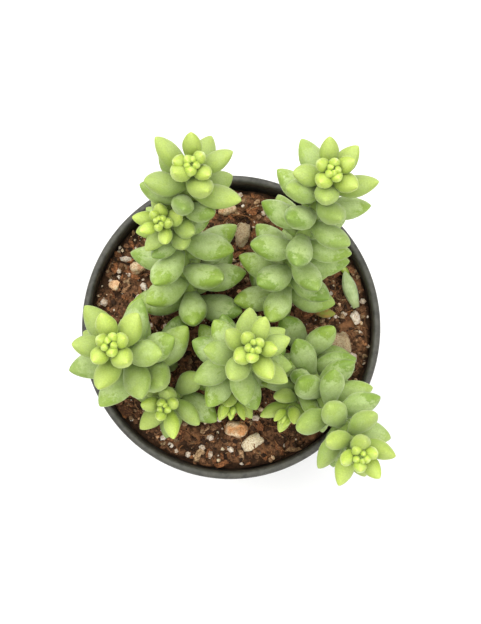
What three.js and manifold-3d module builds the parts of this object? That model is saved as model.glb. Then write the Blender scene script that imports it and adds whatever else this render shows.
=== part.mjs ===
// A burro's tail succulent in a 4 inch nursery pot, in millimetres, +Z up.
// The origin is the middle of the pot's flat underside. +X is to the right and +Y to the back.
// Six rooted stems lean out of gritty potting mix. Their plump leaves follow one spiral rule.
import * as THREE from "three";
import { mergeVertices } from "three/addons/utils/BufferGeometryUtils.js";
import Module from "manifold-3d";

const wasm = await Module();
wasm.setup();

// Driving sizes of the pot.
const POT_HEIGHT = 88;
const RIM_RADIUS = 52;
const LIP_WIDTH = 2.8;
const COLLAR_HEIGHT = 12;
const COLLAR_STEP = 1.2;
const COLLAR_EASE = 3;
const COLLAR_TUCK = 1.8;
const BASE_RADIUS = 37;
const WALL = 1.6;
const FLOOR = 2.4;
const DRAIN_HOLES = 6;
const DRAIN_RADIUS = 3.6;
const DRAIN_CIRCLE = 29;
const ROUND_SIDES = 40;
const HOLE_SIDES = 12;

// Driving sizes of the potting mix, and the gap between pieces that rest on each other. The mix is lower
// towards the wall by the fall, and a stone's middle is above the mix by a share of its half height.
const SOIL_TOP = 82;
const SOIL_FALL = 0.9;
const FALL_RADIUS = 46;
const STONE_RISE = 0.25;
const STONE_UNEVEN = 0.14;
const GAP = 0.35;

// Driving sizes of a stem.
const STEM_RADIUS = 2.3;
const SHOOT_RADIUS = 1.4;
const TIP_RADIUS = 1.3;
const FULL_STEM_BELOW = 22;
const STEM_DEPTH = 9;
const HOLE_PLAY = 0.5;
const BARE_STEM = 5;
const BARE_SHOOT = 3.5;

// Shares of a ripe leaf's length: the step to the next leaf, the width and the thickness of the width.
const LEAF_STEP = 0.125;
const LEAF_WIDTH = 0.56;
const LEAF_THICK = 0.8;
const LEAF_BEND = 0.12;
const LONG_LEAF_BELOW = 40;
const RIPE_TILT = 86;

// A young leaf's share of the ripe one's length, width and step, and how it stands.
const YOUNG_LENGTH = 0.25;
const YOUNG_WIDTH = 0.3;
const YOUNG_STEP = 0.22;
const YOUNG_THICK = 0.95;
const YOUNG_BEND = 0.32;
const YOUNG_TILT = 18;

// How many leaves it takes to ripen, and how sudden that is.
const TILT_RIPENS = { leaves: 9.5, haste: 1.7 };
const LENGTH_RIPENS = { leaves: 9, haste: 1.8 };
const WIDTH_RIPENS = { leaves: 9, haste: 1.7 };
const STEP_RIPENS = { leaves: 10, haste: 1.6 };

// How far leaves stray from the rule: degrees, degrees, share of the length, share of the width.
const STRAY = { turn: 7, tilt: 7, length: 0.08, width: 0.06 };

// The clear space that leaves keep: from the mix and pot, from another stem's leaves, from its core.
const CLEAR_POT = 0.8;
const CLEAR_LEAF = 0.55;
const CLEAR_CORE = 0.7;

// A leaf that lacks room tries these changes of its tilt in degrees and of its size, in turn.
const TRIALS = [
  { tilt: 0, size: 1 },
  { tilt: -14, size: 1 },
  { tilt: 14, size: 1 },
  { tilt: -8, size: 0.84 },
  { tilt: -28, size: 0.84 },
  { tilt: 10, size: 0.7 },
];

// The facets of a leaf's solid: its sides, the shares of its length with a ring, and the widening that
// makes up for the flats. The first few are buds with one ring.
const LEAF_SIDES = 6;
const LEAF_RINGS = [0.3, 0.7];
const BUD_RINGS = [0.5];
const BUDS = 6;
const FACET_WIDENING = 1.09;

// How flat a leaf is above its widest line and how full below it, as shares of an even thickness.
const FLAT_ABOVE = 0.86;
const FULL_BELOW = 1.04;

// A dropped leaf's width as a share of its length, its thickness as a share of the width, and its bend.
const DROPPED_WIDTH = 0.46;
const DROPPED_THICK = 0.8;
const DROPPED_BEND = 0.05;

// Each stem: the points that its axis runs through, from the mix to the tip, its ripe leaf's length
// near the root, the share of that near the tip, how many times sooner than the rule its leaves ripen,
// and its spiral: where the youngest leaf stands, the turn to the next leaf and which way it winds. A
// shoot is a side branch of the stem.
const STEMS = [
  {
    name: "stem_centre",
    axis: [[-2, -15, 81.5], [0.1, -14.4, 96.5], [3.4, -12.4, 119.8], [7.3, -10, 134], [7.7, -9.6, 142]],
    leaf: 16.3, slim: 0.92, early: 1, start: 238, step: 138.5, winds: -1, seed: 41,
    shoot: {
      axis: [[1, -16.5, 92], [0.8, -22.5, 97.5], [0.2, -28.2, 99.8]],
      leaf: 12.5, slim: 1, early: 1.5, start: 194, step: 136.6, winds: -1, seed: 322,
    },
  },
  {
    name: "stem_back_left",
    axis: [
      [-13, 6, 81.5], [-14.3, 14.8, 100], [-17.6, 31.6, 115.4],
      [-13.5, 41.5, 135], [-11.9, 46.9, 143.5], [-11.7, 46.7, 151],
    ],
    leaf: 18.5, slim: 0.88, early: 1, start: 72, step: 138, winds: 1, seed: 221,
    shoot: {
      axis: [[-16.5, 26, 111], [-18.4, 31.5, 120.3], [-22.1, 30.9, 128], [-22.6, 30.9, 133]],
      leaf: 12.4, slim: 1, early: 1, start: 84, step: 136.4, winds: -1, seed: 172,
    },
  },
  {
    name: "stem_back_right",
    axis: [
      [18.5, 6, 81.5], [18.9, 13.5, 97.7], [22.8, 26, 117.8],
      [30, 40.7, 134.2], [31.3, 44.9, 144], [31.7, 44.7, 151],
    ],
    leaf: 16.7, slim: 0.9, early: 1, start: 274, step: 139.1, winds: -1, seed: 581,
  },
  {
    name: "stem_left",
    axis: [
      [-21, -13, 81.5], [-26.3, -14.9, 96.8], [-33.3, -11.3, 111.9],
      [-37.7, -8.4, 127], [-38, -8.1, 135],
    ],
    leaf: 18.7, slim: 0.96, early: 1, start: 123, step: 138.4, winds: -1, seed: 31,
  },
  {
    name: "stem_front_right",
    axis: [
      [24.5, -3, 81.5], [26, -13.5, 95], [31.1, -25.4, 108.6],
      [38, -36, 119.5], [40.9, -42.7, 127], [41.3, -43.9, 133],
    ],
    leaf: 16.2, slim: 0.97, early: 1, start: 292, step: 137.7, winds: 1, seed: 401,
    shoot: {
      axis: [[26.5, -13.5, 98], [22.3, -23.8, 101.5], [18.3, -30.8, 104.5]],
      leaf: 13, slim: 1, early: 1.6, start: 74, step: 139.9, winds: 1, seed: 162,
    },
  },
  {
    name: "stem_front_left",
    axis: [[-16.5, -23, 81.5], [-18.3, -22.9, 91], [-21.5, -27.3, 98], [-22.3, -28, 104]],
    leaf: 15, slim: 1, early: 1.25, start: 61, step: 137.6, winds: 1, seed: 171,
  },
];

// Stones that lie half sunk in the mix: middle, half sizes, and turn about Z in degrees.
const STONES = [
  { name: "pumice_front", at: [1.7, -34.9], half: [4.2, 3, 2.6], turn: -12 },
  { name: "pumice_front_right", at: [7.5, -39.6], half: [4, 2.5, 2.2], turn: 32 },
  { name: "pumice_back", at: [4, 32.6], half: [2.9, 4.3, 2.6], turn: -14 },
  { name: "pumice_right", at: [38, -5.4], half: [3.9, 5, 2.8], turn: 12 },
  { name: "pumice_left", at: [-33, 21], half: [3, 2.3, 2], turn: 10 },
  { name: "pumice_back_left", at: [-1.3, 41.8], half: [3.4, 2, 1.9], turn: 14 },
  { name: "pumice_small_left", at: [-40.7, 15.1], half: [2, 1.9, 1.6], turn: 40 },
  { name: "perlite_right", at: [43.3, 3.7], half: [1.7, 2.4, 1.6], turn: 20 },
  { name: "perlite_front_right", at: [42.3, -10.7], half: [1.7, 2.1, 1.5], turn: -20 },
];

// Leaves that have dropped and lie on the mix: middle, length, and the way they point in degrees.
const DROPPED = [
  { name: "dropped_leaf", at: [41.4, 13.3], length: 13.4, turn: 109 },
  { name: "dropped_young_leaf", at: [39.8, 20.2], length: 5.2, turn: 122 },
  { name: "dropped_yellow_leaf", at: [32.7, 5], length: 7.4, turn: 352 },
];

const FULL_TURN = 2 * Math.PI;
const radians = THREE.MathUtils.degToRad;
const UP = new THREE.Vector3(0, 0, 1);

// A repeatable number from 0 to 1 for the n-th draw of a seed, by integer mixing.
function draw(seed, n) {
  let h = (Math.imul(seed, 374761393) + Math.imul(n, 668265263)) >>> 0;
  h = Math.imul(h ^ (h >>> 13), 1274126177) >>> 0;
  return ((h ^ (h >>> 16)) >>> 0) / 2 ** 32;
}

// The same draw spread from -1 to 1.
function spread(seed, n) {
  return 2 * draw(seed, n) - 1;
}

// The mix's surface height at a place: low swells and ripples, and lower towards the wall.
function soilHeight(x, y) {
  const swell = 0.7 * Math.sin(0.17 * x + 0.6) * Math.cos(0.15 * y - 0.4);
  const ripple = 0.35 * Math.sin(0.41 * x - 0.33 * y + 1.1);
  return SOIL_TOP + swell + ripple - (SOIL_FALL * (x * x + y * y)) / FALL_RADIUS ** 2;
}

// The inside radius of the pot at a height: a tapered wall, which widens into the upright collar.
function wallInside(z) {
  const collarFoot = POT_HEIGHT - COLLAR_HEIGHT;
  const widening = RIM_RADIUS - COLLAR_STEP - COLLAR_TUCK - BASE_RADIUS;
  const tapered = BASE_RADIUS - WALL + (widening * Math.min(z, collarFoot)) / collarFoot;
  const share = THREE.MathUtils.clamp((z - collarFoot) / COLLAR_EASE, 0, 1);
  return tapered + share * (RIM_RADIUS - LIP_WIDTH - tapered);
}

// A mesh geometry as a solid for joining and cutting.
function solidOf(geometry) {
  const bare = geometry.clone();
  bare.deleteAttribute("normal");
  bare.deleteAttribute("uv");
  const merged = mergeVertices(bare, 1e-4);
  const mesh = new wasm.Mesh({
    numProp: 3,
    vertProperties: new Float32Array(merged.attributes.position.array),
    triVerts: new Uint32Array(merged.index.array),
  });
  return new wasm.Manifold(mesh);
}

// A solid as a mesh geometry. A hollow that joining has sealed is filled, and loose scraps are dropped.
function geometryOf(solid) {
  const bodies = solid.simplify(0.02).decompose();
  const whole = bodies.reduce((a, b) => (b.volume() > a.volume() ? b : a));
  const mesh = whole.getMesh();
  const geometry = new THREE.BufferGeometry();
  geometry.setAttribute("position", new THREE.BufferAttribute(new Float32Array(mesh.vertProperties), 3));
  geometry.setIndex(new THREE.BufferAttribute(new Uint32Array(mesh.triVerts), 1));
  geometry.computeVertexNormals();
  return geometry;
}

// A lathe blank about Z from [radius, height] pairs, from the bottom up along the outside.
function turned(profile, sides) {
  const points = profile.map(([r, z]) => new THREE.Vector2(r, z));
  return new THREE.LatheGeometry(points, sides).rotateX(Math.PI / 2);
}

// Moves every vertex of a geometry by a function of its place.
function reshape(geometry, place) {
  const position = geometry.attributes.position;
  for (let i = 0; i < position.count; i++) {
    const moved = place(new THREE.Vector3().fromBufferAttribute(position, i));
    position.setXYZ(i, moved.x, moved.y, moved.z);
  }
  return geometry;
}

// A stem's axis, walked by its length from the root: place, direction and two crosswise directions.
function axisOf(points) {
  const SAMPLES = 120;
  const knots = points.map((p) => new THREE.Vector3(...p));
  const curve = new THREE.CatmullRomCurve3(knots, false, "catmullrom", 0.5);
  const places = curve.getPoints(SAMPLES);
  const walked = [0];
  for (let i = 1; i <= SAMPLES; i++) walked.push(walked[i - 1] + places[i].distanceTo(places[i - 1]));
  const ways = places.map((_, i) => {
    const after = places[Math.min(i + 1, SAMPLES)];
    const before = places[Math.max(i - 1, 0)];
    return after.clone().sub(before).normalize();
  });
  const lean = places[SAMPLES].clone().sub(places[0]).setZ(0).normalize();
  const level = UP.clone().cross(lean);
  function at(length) {
    let i = 0;
    while (i < SAMPLES - 1 && walked[i + 1] < length) i++;
    const share = THREE.MathUtils.clamp((length - walked[i]) / (walked[i + 1] - walked[i]), 0, 1);
    const place = places[i].clone().lerp(places[i + 1], share);
    const way = ways[i].clone().lerp(ways[i + 1], share).normalize();
    const side = level.clone().addScaledVector(way, -level.dot(way)).normalize();
    return { place, way, side, front: way.clone().cross(side) };
  }
  return { at, places, length: walked[SAMPLES] };
}

// The outward direction at a turn about a stem, counted from +X as seen from the tip.
function outwards(way, turn) {
  const east = new THREE.Vector3(1, 0, 0).addScaledVector(way, -way.x).normalize();
  const north = way.clone().cross(east);
  return east.multiplyScalar(Math.cos(turn)).addScaledVector(north, Math.sin(turn));
}

// A stem's own radius, thin at the tip and full some way down from it.
function coreRadius(stem, down) {
  return TIP_RADIUS + (stem.radius - TIP_RADIUS) * Math.min(1, down / FULL_STEM_BELOW);
}

// The length of a ripe leaf at a distance down from the tip: a little longer near the root.
function ripeLength(stem, down) {
  return stem.leaf * (stem.slim + (1 - stem.slim) * Math.min(1, down / LONG_LEAF_BELOW));
}

// How young a stem's n-th leaf from the tip still is, from 1 down to 0.
function youth(stem, n, ripens) {
  return Math.exp(-(((n * stem.early) / ripens.leaves) ** ripens.haste));
}

// A value that goes from the young leaf's to the ripe leaf's.
function ripened(young, ripe, share) {
  return ripe + (young - ripe) * share;
}

// A leaf's half width as a share of its widest, by its share of the length: neck, belly, short point.
function leafOutline(t) {
  const belly = 0.42 + 0.58 * Math.sin((Math.min(t / 0.6, 1) * Math.PI) / 2) ** 1.1;
  return (belly * (1 - t ** 4) ** 0.72) / 0.92;
}

// The n-th leaf of a stem, counted from the tip: its place on the spiral, changed by a trial.
function leafAt(stem, n, down, trial) {
  const strays = [0, 1, 2, 3].map((i) => spread(stem.seed, 5 * n + i));
  const [turnStray, tiltStray, lengthStray, widthStray] = strays;
  const { place, way } = stem.path.at(stem.path.length - down);
  const young = youth(stem, n, TILT_RIPENS);
  const turn = radians(stem.start + stem.winds * n * stem.step + STRAY.turn * turnStray);
  const tilt = radians(ripened(YOUNG_TILT, RIPE_TILT, young) + STRAY.tilt * tiltStray + trial.tilt);
  const out = outwards(way, turn);
  const along = way.clone().multiplyScalar(Math.cos(tilt)).addScaledVector(out, Math.sin(tilt));
  const upper = way.clone().multiplyScalar(Math.sin(tilt)).addScaledVector(out, -Math.cos(tilt));
  const full = ripeLength(stem, down) * trial.size;
  const long = full * ripened(YOUNG_LENGTH, 1, youth(stem, n, LENGTH_RIPENS));
  const length = long * (1 + STRAY.length * lengthStray);
  const broad = LEAF_WIDTH * full * ripened(YOUNG_WIDTH, 1, youth(stem, n, WIDTH_RIPENS));
  const width = broad * (1 + STRAY.width * widthStray);
  return {
    n,
    base: place.clone().addScaledVector(out, 0.6 * coreRadius(stem, down)),
    along,
    upper,
    across: upper.clone().cross(along),
    length,
    width,
    thick: width * ripened(YOUNG_THICK, LEAF_THICK, young),
    bend: ripened(YOUNG_BEND, LEAF_BEND, young),
  };
}

// A point of a leaf from its share of the length and its sideways and upward distances from the midrib.
function onLeaf(leaf, t, u, v) {
  const rise = v + leaf.bend * leaf.length * t * t;
  return leaf.base
    .clone()
    .addScaledVector(leaf.along, leaf.length * t)
    .addScaledVector(leaf.across, u)
    .addScaledVector(leaf.upper, rise);
}

// Points on a leaf's skin and midrib, for finding what it would cross.
function feelers(leaf) {
  const points = [];
  for (const t of [0.3, 0.45, 0.6, 0.75, 0.88, 1]) {
    const share = leafOutline(t) / 2;
    points.push(onLeaf(leaf, t, 0, 0));
    for (let i = 0; i < 6; i++) {
      const a = (i / 6) * FULL_TURN;
      points.push(onLeaf(leaf, t, share * leaf.width * Math.cos(a), share * leaf.thick * Math.sin(a)));
    }
  }
  return points;
}

// Whether a point is inside a leaf that is grown by a margin.
function insideLeaf(leaf, point, margin) {
  const from = point.clone().sub(leaf.base);
  const t = from.dot(leaf.along) / leaf.length;
  if (t < -0.05 || t > 1 + margin / leaf.length) return false;
  const share = leafOutline(THREE.MathUtils.clamp(t, 0, 1)) / 2;
  const u = from.dot(leaf.across) / (share * leaf.width + margin);
  const v = (from.dot(leaf.upper) - leaf.bend * leaf.length * t * t) / (share * leaf.thick + margin);
  return u * u + v * v < 1;
}

// Whether a point is in, or too near, the mix or the pot.
function nearPot(p) {
  const r = Math.hypot(p.x, p.y);
  const underMix = r < RIM_RADIUS + 1 && p.z < soilHeight(p.x, p.y) + CLEAR_POT;
  const inWall = r > wallInside(p.z) - CLEAR_POT && r < RIM_RADIUS + CLEAR_POT;
  return underMix || (inWall && p.z < POT_HEIGHT + CLEAR_POT);
}

// Whether a leaf would touch the mix, the pot, another stem, or a leaf of another stem.
// Leaves of a shoot and of the stem that bears it may touch, but not sink into each other.
function crossesAnything(leaf, own, stems, grown) {
  const points = feelers(leaf);
  if (points.some(nearPot)) return true;
  const middle = leaf.base.clone().addScaledVector(leaf.along, leaf.length / 2);
  for (const other of grown) {
    if (other.stem === own) continue;
    if (other.leaf.base.distanceTo(middle) > leaf.length / 2 + other.leaf.length + 2) continue;
    const margin = other.stem.node === own.node ? -0.1 : CLEAR_LEAF;
    if (points.some((p) => insideLeaf(other.leaf, p, margin))) return true;
    if (feelers(other.leaf).some((p) => insideLeaf(leaf, p, margin))) return true;
  }
  for (const other of stems) {
    const joined = other.node === own.node;
    if (other === own || (joined && other.shoot !== own)) continue;
    const clear = other.radius + (joined ? 0 : CLEAR_CORE);
    if (points.some((p) => other.path.places.some((q) => q.distanceTo(p) < clear))) return true;
  }
  return false;
}

// Every leaf of every stem. Young leaves are placed first; an older one that lacks room tries to
// turn or stay smaller, and is left out where that doesn't help.
function growLeaves(stems) {
  const buds = [];
  for (const stem of stems) {
    let down = 0.3;
    for (let n = 0; down < stem.path.length - stem.bare; n++) {
      buds.push({ stem, n, down });
      down += LEAF_STEP * ripeLength(stem, down) * ripened(YOUNG_STEP, 1, youth(stem, n, STEP_RIPENS));
    }
  }
  buds.sort((a, b) => a.n - b.n);
  const grown = [];
  for (const { stem, n, down } of buds) {
    const tried = TRIALS.map((trial) => leafAt(stem, n, down, trial));
    const leaf = tried.find((one) => !crossesAnything(one, stem, stems, grown));
    if (leaf) grown.push({ stem, leaf });
  }
  return grown;
}

// The rooted stems, each followed by the side shoot that it bears.
function plantStems() {
  const stems = [];
  for (const given of STEMS) {
    const rooted = { radius: STEM_RADIUS, sunk: STEM_DEPTH, bare: BARE_STEM, shoot: null };
    const stem = { ...given, ...rooted, node: given.name, path: axisOf(given.axis) };
    stems.push(stem);
    if (!given.shoot) continue;
    const borne = { radius: SHOOT_RADIUS, sunk: 0, bare: BARE_SHOOT, shoot: null };
    stem.shoot = { ...given.shoot, ...borne, node: given.name, path: axisOf(given.shoot.axis) };
    stems.push(stem.shoot);
  }
  return stems;
}

// One leaf as a geometry: a lathe blank, flattened, a little flatter above, and bent up.
function leafGeometry(leaf) {
  const rings = leaf.n < BUDS ? BUD_RINGS : LEAF_RINGS;
  const profile = [[0, 0], ...rings.map((t) => [(FACET_WIDENING * leafOutline(t)) / 2, t]), [0, 1]];
  return reshape(turned(profile, LEAF_SIDES), (p) => {
    const v = p.y * leaf.thick * (p.y > 0 ? FLAT_ABOVE : FULL_BELOW);
    return onLeaf(leaf, p.z, p.x * leaf.width, v);
  });
}

// A stem's core: a tapering rod on its axis. A rooted one goes straight on into the mix.
function coreGeometry(stem) {
  const STEPS = 8;
  const CORE_SIDES = 7;
  const profile = [[0, -stem.sunk], [stem.radius, -stem.sunk]];
  for (let i = 0; i < STEPS; i++) {
    const length = (stem.path.length * i) / STEPS;
    profile.push([coreRadius(stem, stem.path.length - length), length]);
  }
  profile.push([0.6 * TIP_RADIUS, stem.path.length], [0, stem.path.length + 0.5]);
  return reshape(turned(profile, CORE_SIDES), (p) => {
    const { place, way, side, front } = stem.path.at(Math.max(0, p.z));
    const past = Math.min(0, p.z) + Math.max(0, p.z - stem.path.length);
    return place.clone().addScaledVector(side, p.x).addScaledVector(front, p.y).addScaledVector(way, past);
  });
}

// The pot: a thin tapered wall with a rolled collar, a flat floor and drain holes near its edge.
function potSolid() {
  const collarFoot = POT_HEIGHT - COLLAR_HEIGHT;
  const profile = [
    [0, 0],
    [BASE_RADIUS - 1.5, 0],
    [BASE_RADIUS, 1.5],
    [wallInside(collarFoot) + WALL, collarFoot],
    [RIM_RADIUS - COLLAR_STEP, collarFoot + 0.6],
    [RIM_RADIUS, POT_HEIGHT - 1.6],
    [RIM_RADIUS - 1, POT_HEIGHT],
    [RIM_RADIUS - LIP_WIDTH + 0.4, POT_HEIGHT - 0.4],
    [RIM_RADIUS - LIP_WIDTH, POT_HEIGHT - 2],
    [wallInside(collarFoot + COLLAR_EASE), collarFoot + COLLAR_EASE],
    [wallInside(collarFoot), collarFoot],
    [wallInside(FLOOR), FLOOR],
    [0, FLOOR],
  ];
  let pot = solidOf(turned(profile, ROUND_SIDES));
  for (let i = 0; i < DRAIN_HOLES; i++) {
    const a = (i / DRAIN_HOLES) * FULL_TURN;
    const drill = new THREE.CylinderGeometry(DRAIN_RADIUS, DRAIN_RADIUS, 4 * FLOOR, HOLE_SIDES);
    drill.rotateX(Math.PI / 2).translate(DRAIN_CIRCLE * Math.cos(a), DRAIN_CIRCLE * Math.sin(a), 0);
    pot = pot.subtract(solidOf(drill));
  }
  return pot;
}

// A stone: a dodecahedron with uneven corners, stretched, turned and half sunk in the mix.
// Grown by a gap, it cuts its own seat.
function stoneGeometry(stone, index, gap) {
  const [x, y] = stone.at;
  const middle = soilHeight(x, y) + STONE_RISE * stone.half[2];
  const rough = reshape(new THREE.DodecahedronGeometry(1, 0), (p) => {
    const corner = Math.round(7 * p.x) + 19 * Math.round(7 * p.y) + 83 * Math.round(7 * p.z);
    const uneven = 1 + STONE_UNEVEN * spread(300 + index, 1000 + corner);
    return new THREE.Vector3(...stone.half.map((half, i) => p.getComponent(i) * (uneven * half + gap)));
  });
  return rough.rotateZ(radians(stone.turn)).translate(x, y, middle);
}

// The hole that a rooted stem stands in, along the stem's own lean.
function holeGeometry(stem) {
  const { place, way } = stem.path.at(0);
  const depth = STEM_DEPTH + GAP;
  const reach = depth + 5;
  const radius = STEM_RADIUS + HOLE_PLAY;
  const drill = new THREE.CylinderGeometry(radius, radius, reach, HOLE_SIDES).rotateX(Math.PI / 2);
  drill.translate(0, 0, reach / 2 - depth);
  drill.applyQuaternion(new THREE.Quaternion().setFromUnitVectors(UP, way));
  return drill.translate(place.x, place.y, place.z);
}

// The mix: a plug of the pot's inside with an uneven top, a hole for each stem, a seat for each stone.
function soilSolid(stems) {
  const foot = FLOOR + GAP;
  const collarFoot = POT_HEIGHT - COLLAR_HEIGHT;
  const side = [foot, collarFoot, collarFoot + COLLAR_EASE].map((z) => [wallInside(z) - GAP, z]);
  const edge = wallInside(SOIL_TOP) - GAP;
  const profile = [[0, foot], ...side];
  for (const r of [edge, 39, 28, 15, 0]) profile.push([r, SOIL_TOP]);
  const plug = reshape(turned(profile, ROUND_SIDES), (p) => {
    return p.z < SOIL_TOP - 1 ? p : p.setZ(soilHeight(p.x, p.y));
  });
  const holes = stems.filter((stem) => stem.sunk > 0).map(holeGeometry);
  const seats = STONES.map((stone, index) => stoneGeometry(stone, index, GAP));
  return [...holes, ...seats].reduce((soil, cutter) => soil.subtract(solidOf(cutter)), solidOf(plug));
}

// A dropped leaf lies on its broad side, just clear of the mix under it.
function droppedLeaf(given) {
  const a = radians(given.turn);
  const along = new THREE.Vector3(Math.cos(a), Math.sin(a), 0);
  const { length } = given;
  const width = DROPPED_WIDTH * length;
  const thick = DROPPED_THICK * width;
  const leaf = { n: BUDS, along, upper: UP, across: UP.clone().cross(along), length, width, thick };
  leaf.bend = DROPPED_BEND;
  leaf.base = new THREE.Vector3(given.at[0], given.at[1], 0).addScaledVector(along, -length / 2);
  const lift = feelers(leaf).map((p) => soilHeight(p.x, p.y) - p.z);
  leaf.base.z = Math.max(...lift) + 2 * GAP;
  return leafGeometry(leaf);
}

const materials = {
  pot: new THREE.MeshStandardMaterial({ color: 0x3a3a35, roughness: 0.55, metalness: 0 }),
  soil: new THREE.MeshStandardMaterial({ color: 0x4a2f20, roughness: 0.95, metalness: 0 }),
  leaf: new THREE.MeshStandardMaterial({ color: 0x96b668, roughness: 0.5, metalness: 0 }),
  yellow_leaf: new THREE.MeshStandardMaterial({ color: 0xa08a45, roughness: 0.6, metalness: 0 }),
  pumice: new THREE.MeshStandardMaterial({ color: 0xc9a583, roughness: 0.9, metalness: 0 }),
  perlite: new THREE.MeshStandardMaterial({ color: 0xe6ddd0, roughness: 0.9, metalness: 0 }),
};

const plant = new THREE.Group();

function addPiece(name, solid, material) {
  const mesh = new THREE.Mesh(geometryOf(solid), material);
  mesh.name = name;
  plant.add(mesh);
}

const stems = plantStems();
const grown = growLeaves(stems);

addPiece("pot", potSolid(), materials.pot);
addPiece("soil", soilSolid(stems), materials.soil);
STONES.forEach((stone, index) => {
  const material = stone.name.startsWith("perlite") ? materials.perlite : materials.pumice;
  addPiece(stone.name, solidOf(stoneGeometry(stone, index, 0)), material);
});
for (const given of DROPPED) {
  const material = given.name.includes("yellow") ? materials.yellow_leaf : materials.leaf;
  addPiece(given.name, solidOf(droppedLeaf(given)), material);
}
for (const { name } of STEMS) {
  const cores = stems.filter((stem) => stem.node === name).map(coreGeometry);
  const leaves = grown.filter(({ stem }) => stem.node === name).map(({ leaf }) => leafGeometry(leaf));
  addPiece(name, wasm.Manifold.union([...cores, ...leaves].map(solidOf)), materials.leaf);
}

export default plant;
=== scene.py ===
# %% [markdown]
# # A burro's tail in a nursery pot
#
# Burro's tail is a trailing succulent. Its stems are thin, but they hide under plump leaves that
# overlap like shingles, each with a pale waxy bloom that rubs off where it is touched. This one
# grows in a thin black nursery pot, in a brown mix of bark, coir and grit.
#
# The lesson builds it in the order in which it would be potted: pot, mix, stones, stems and leaves,
# and then the light. Sizes are in millimetres in the text and in metres in the meshes.

import math

import bmesh
import bpy
import numpy as np
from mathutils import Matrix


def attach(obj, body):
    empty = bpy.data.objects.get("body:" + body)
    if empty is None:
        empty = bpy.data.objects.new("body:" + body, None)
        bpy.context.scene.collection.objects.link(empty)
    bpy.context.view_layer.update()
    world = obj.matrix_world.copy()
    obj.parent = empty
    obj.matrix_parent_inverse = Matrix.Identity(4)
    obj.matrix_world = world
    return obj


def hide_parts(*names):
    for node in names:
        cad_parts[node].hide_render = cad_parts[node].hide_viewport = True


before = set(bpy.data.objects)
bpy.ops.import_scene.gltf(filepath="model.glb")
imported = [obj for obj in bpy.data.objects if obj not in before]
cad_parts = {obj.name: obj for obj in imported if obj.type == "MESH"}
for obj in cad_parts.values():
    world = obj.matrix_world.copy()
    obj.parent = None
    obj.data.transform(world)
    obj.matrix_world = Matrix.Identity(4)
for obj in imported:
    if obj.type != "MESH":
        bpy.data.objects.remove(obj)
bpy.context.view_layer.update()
print("solids in the frame:", len(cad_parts))

# %% [markdown]
# ## Putting a surface into a mesh
#
# Every piece here is a surface worked out with numpy: an array of points with rows along the shape
# and columns around it. Blender could build the same from primitives and modifiers, but a grid of
# points is quicker to shape by a formula, and its faces are always in order. One helper numbers the
# faces of a grid, and another puts points, faces and any painted values into a mesh.

# %% Number the faces of a grid
MILLIMETRE = 0.001
FULL_TURN = 2 * np.pi


def angles_round(count):
    """A count of angles, evenly spaced round a full turn."""
    return np.arange(count) / count * FULL_TURN


def ring_faces(rows, columns, closed_ends=False):
    """The quads of rows of points that close into rings: each face joins a point, its neighbour
    round the ring and the same two of the next row. With closed_ends, the first and last row are
    one point each, and triangles join them to the rings."""
    row, column = np.meshgrid(np.arange(rows - 1), np.arange(columns), indexing="ij")
    beside = (column + 1) % columns
    low = row * columns
    high = low + columns
    quads = np.stack([low + column, low + beside, high + beside, high + column], -1)
    faces = quads.reshape(-1, 4).tolist()
    if closed_ends:
        around = np.arange(columns)
        after = (around + 1) % columns
        last = (rows - 1) * columns
        first_pole = np.full(columns, rows * columns)
        foot = np.stack([first_pole, after, around], -1)
        head = np.stack([first_pole + 1, last + around, last + after], -1)
        faces += foot.tolist() + head.tolist()
    return faces


print("faces of a ring grid of 3 by 8:", len(ring_faces(3, 8)))

# %% Put points and faces into a mesh


def put_piece(name, points, faces, material, node_names=(), slot=None, smooth=True, **painted):
    """A mesh object at the origin from points in millimetres. Each painted array becomes a named
    value on the points, which materials read. The piece rides on the root body and replaces its
    nodes."""
    mesh = bpy.data.meshes.new(name)
    mesh.from_pydata((np.asarray(points) * MILLIMETRE).tolist(), [], faces)
    mesh.update()
    mesh.polygons.foreach_set("use_smooth", np.full(len(mesh.polygons), smooth))
    for key, values in painted.items():
        layer = mesh.attributes.new(key, "FLOAT", "POINT")
        layer.data.foreach_set("value", np.asarray(values, dtype=np.float32))
    mesh.materials.append(material)
    piece = bpy.data.objects.new(name, mesh)
    bpy.context.scene.collection.objects.link(piece)
    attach(piece, "root")
    if node_names:
        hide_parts(*node_names)
    print(f"{name}: {len(mesh.vertices)} points, {len(mesh.polygons)} faces")
    return piece


# %% [markdown]
# ## Chance that repeats
#
# Plants and soil are uneven, but a scene has to come out the same each time. So every draw comes
# from mixing whole numbers, the same way as in the part's source, and Blender's leaves stand
# exactly where the solid ones do. For lumps in a surface, the draws sit on a lattice and are
# blended between.

# %% Draw repeatable numbers


def draw(seed, n):
    """A number from 0 to 1 for the n-th draw of a seed, by mixing whole numbers. Takes arrays
    too."""
    mask = np.uint64(0xFFFFFFFF)
    n = np.asarray(n).astype(np.int64).astype(np.uint64)
    mixed = (np.uint64(seed) * np.uint64(374761393) + n * np.uint64(668265263)) & mask
    mixed = ((mixed ^ (mixed >> np.uint64(13))) * np.uint64(1274126177)) & mask
    return ((mixed ^ (mixed >> np.uint64(16))) & mask).astype(float) / 2**32


def spread(seed, n):
    """The same draw from -1 to 1."""
    return 2 * draw(seed, n) - 1


print("first draws of seed 1:", np.round(draw(1, np.arange(4)), 3))

# %% Lumps in a surface
# Every corner of the lattice gets a number of its own from these. The shift keeps its places
# positive.
LATTICE_SHIFT = 4096
LATTICE_Y = 9973
LATTICE_Z = 7919 * 31


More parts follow.
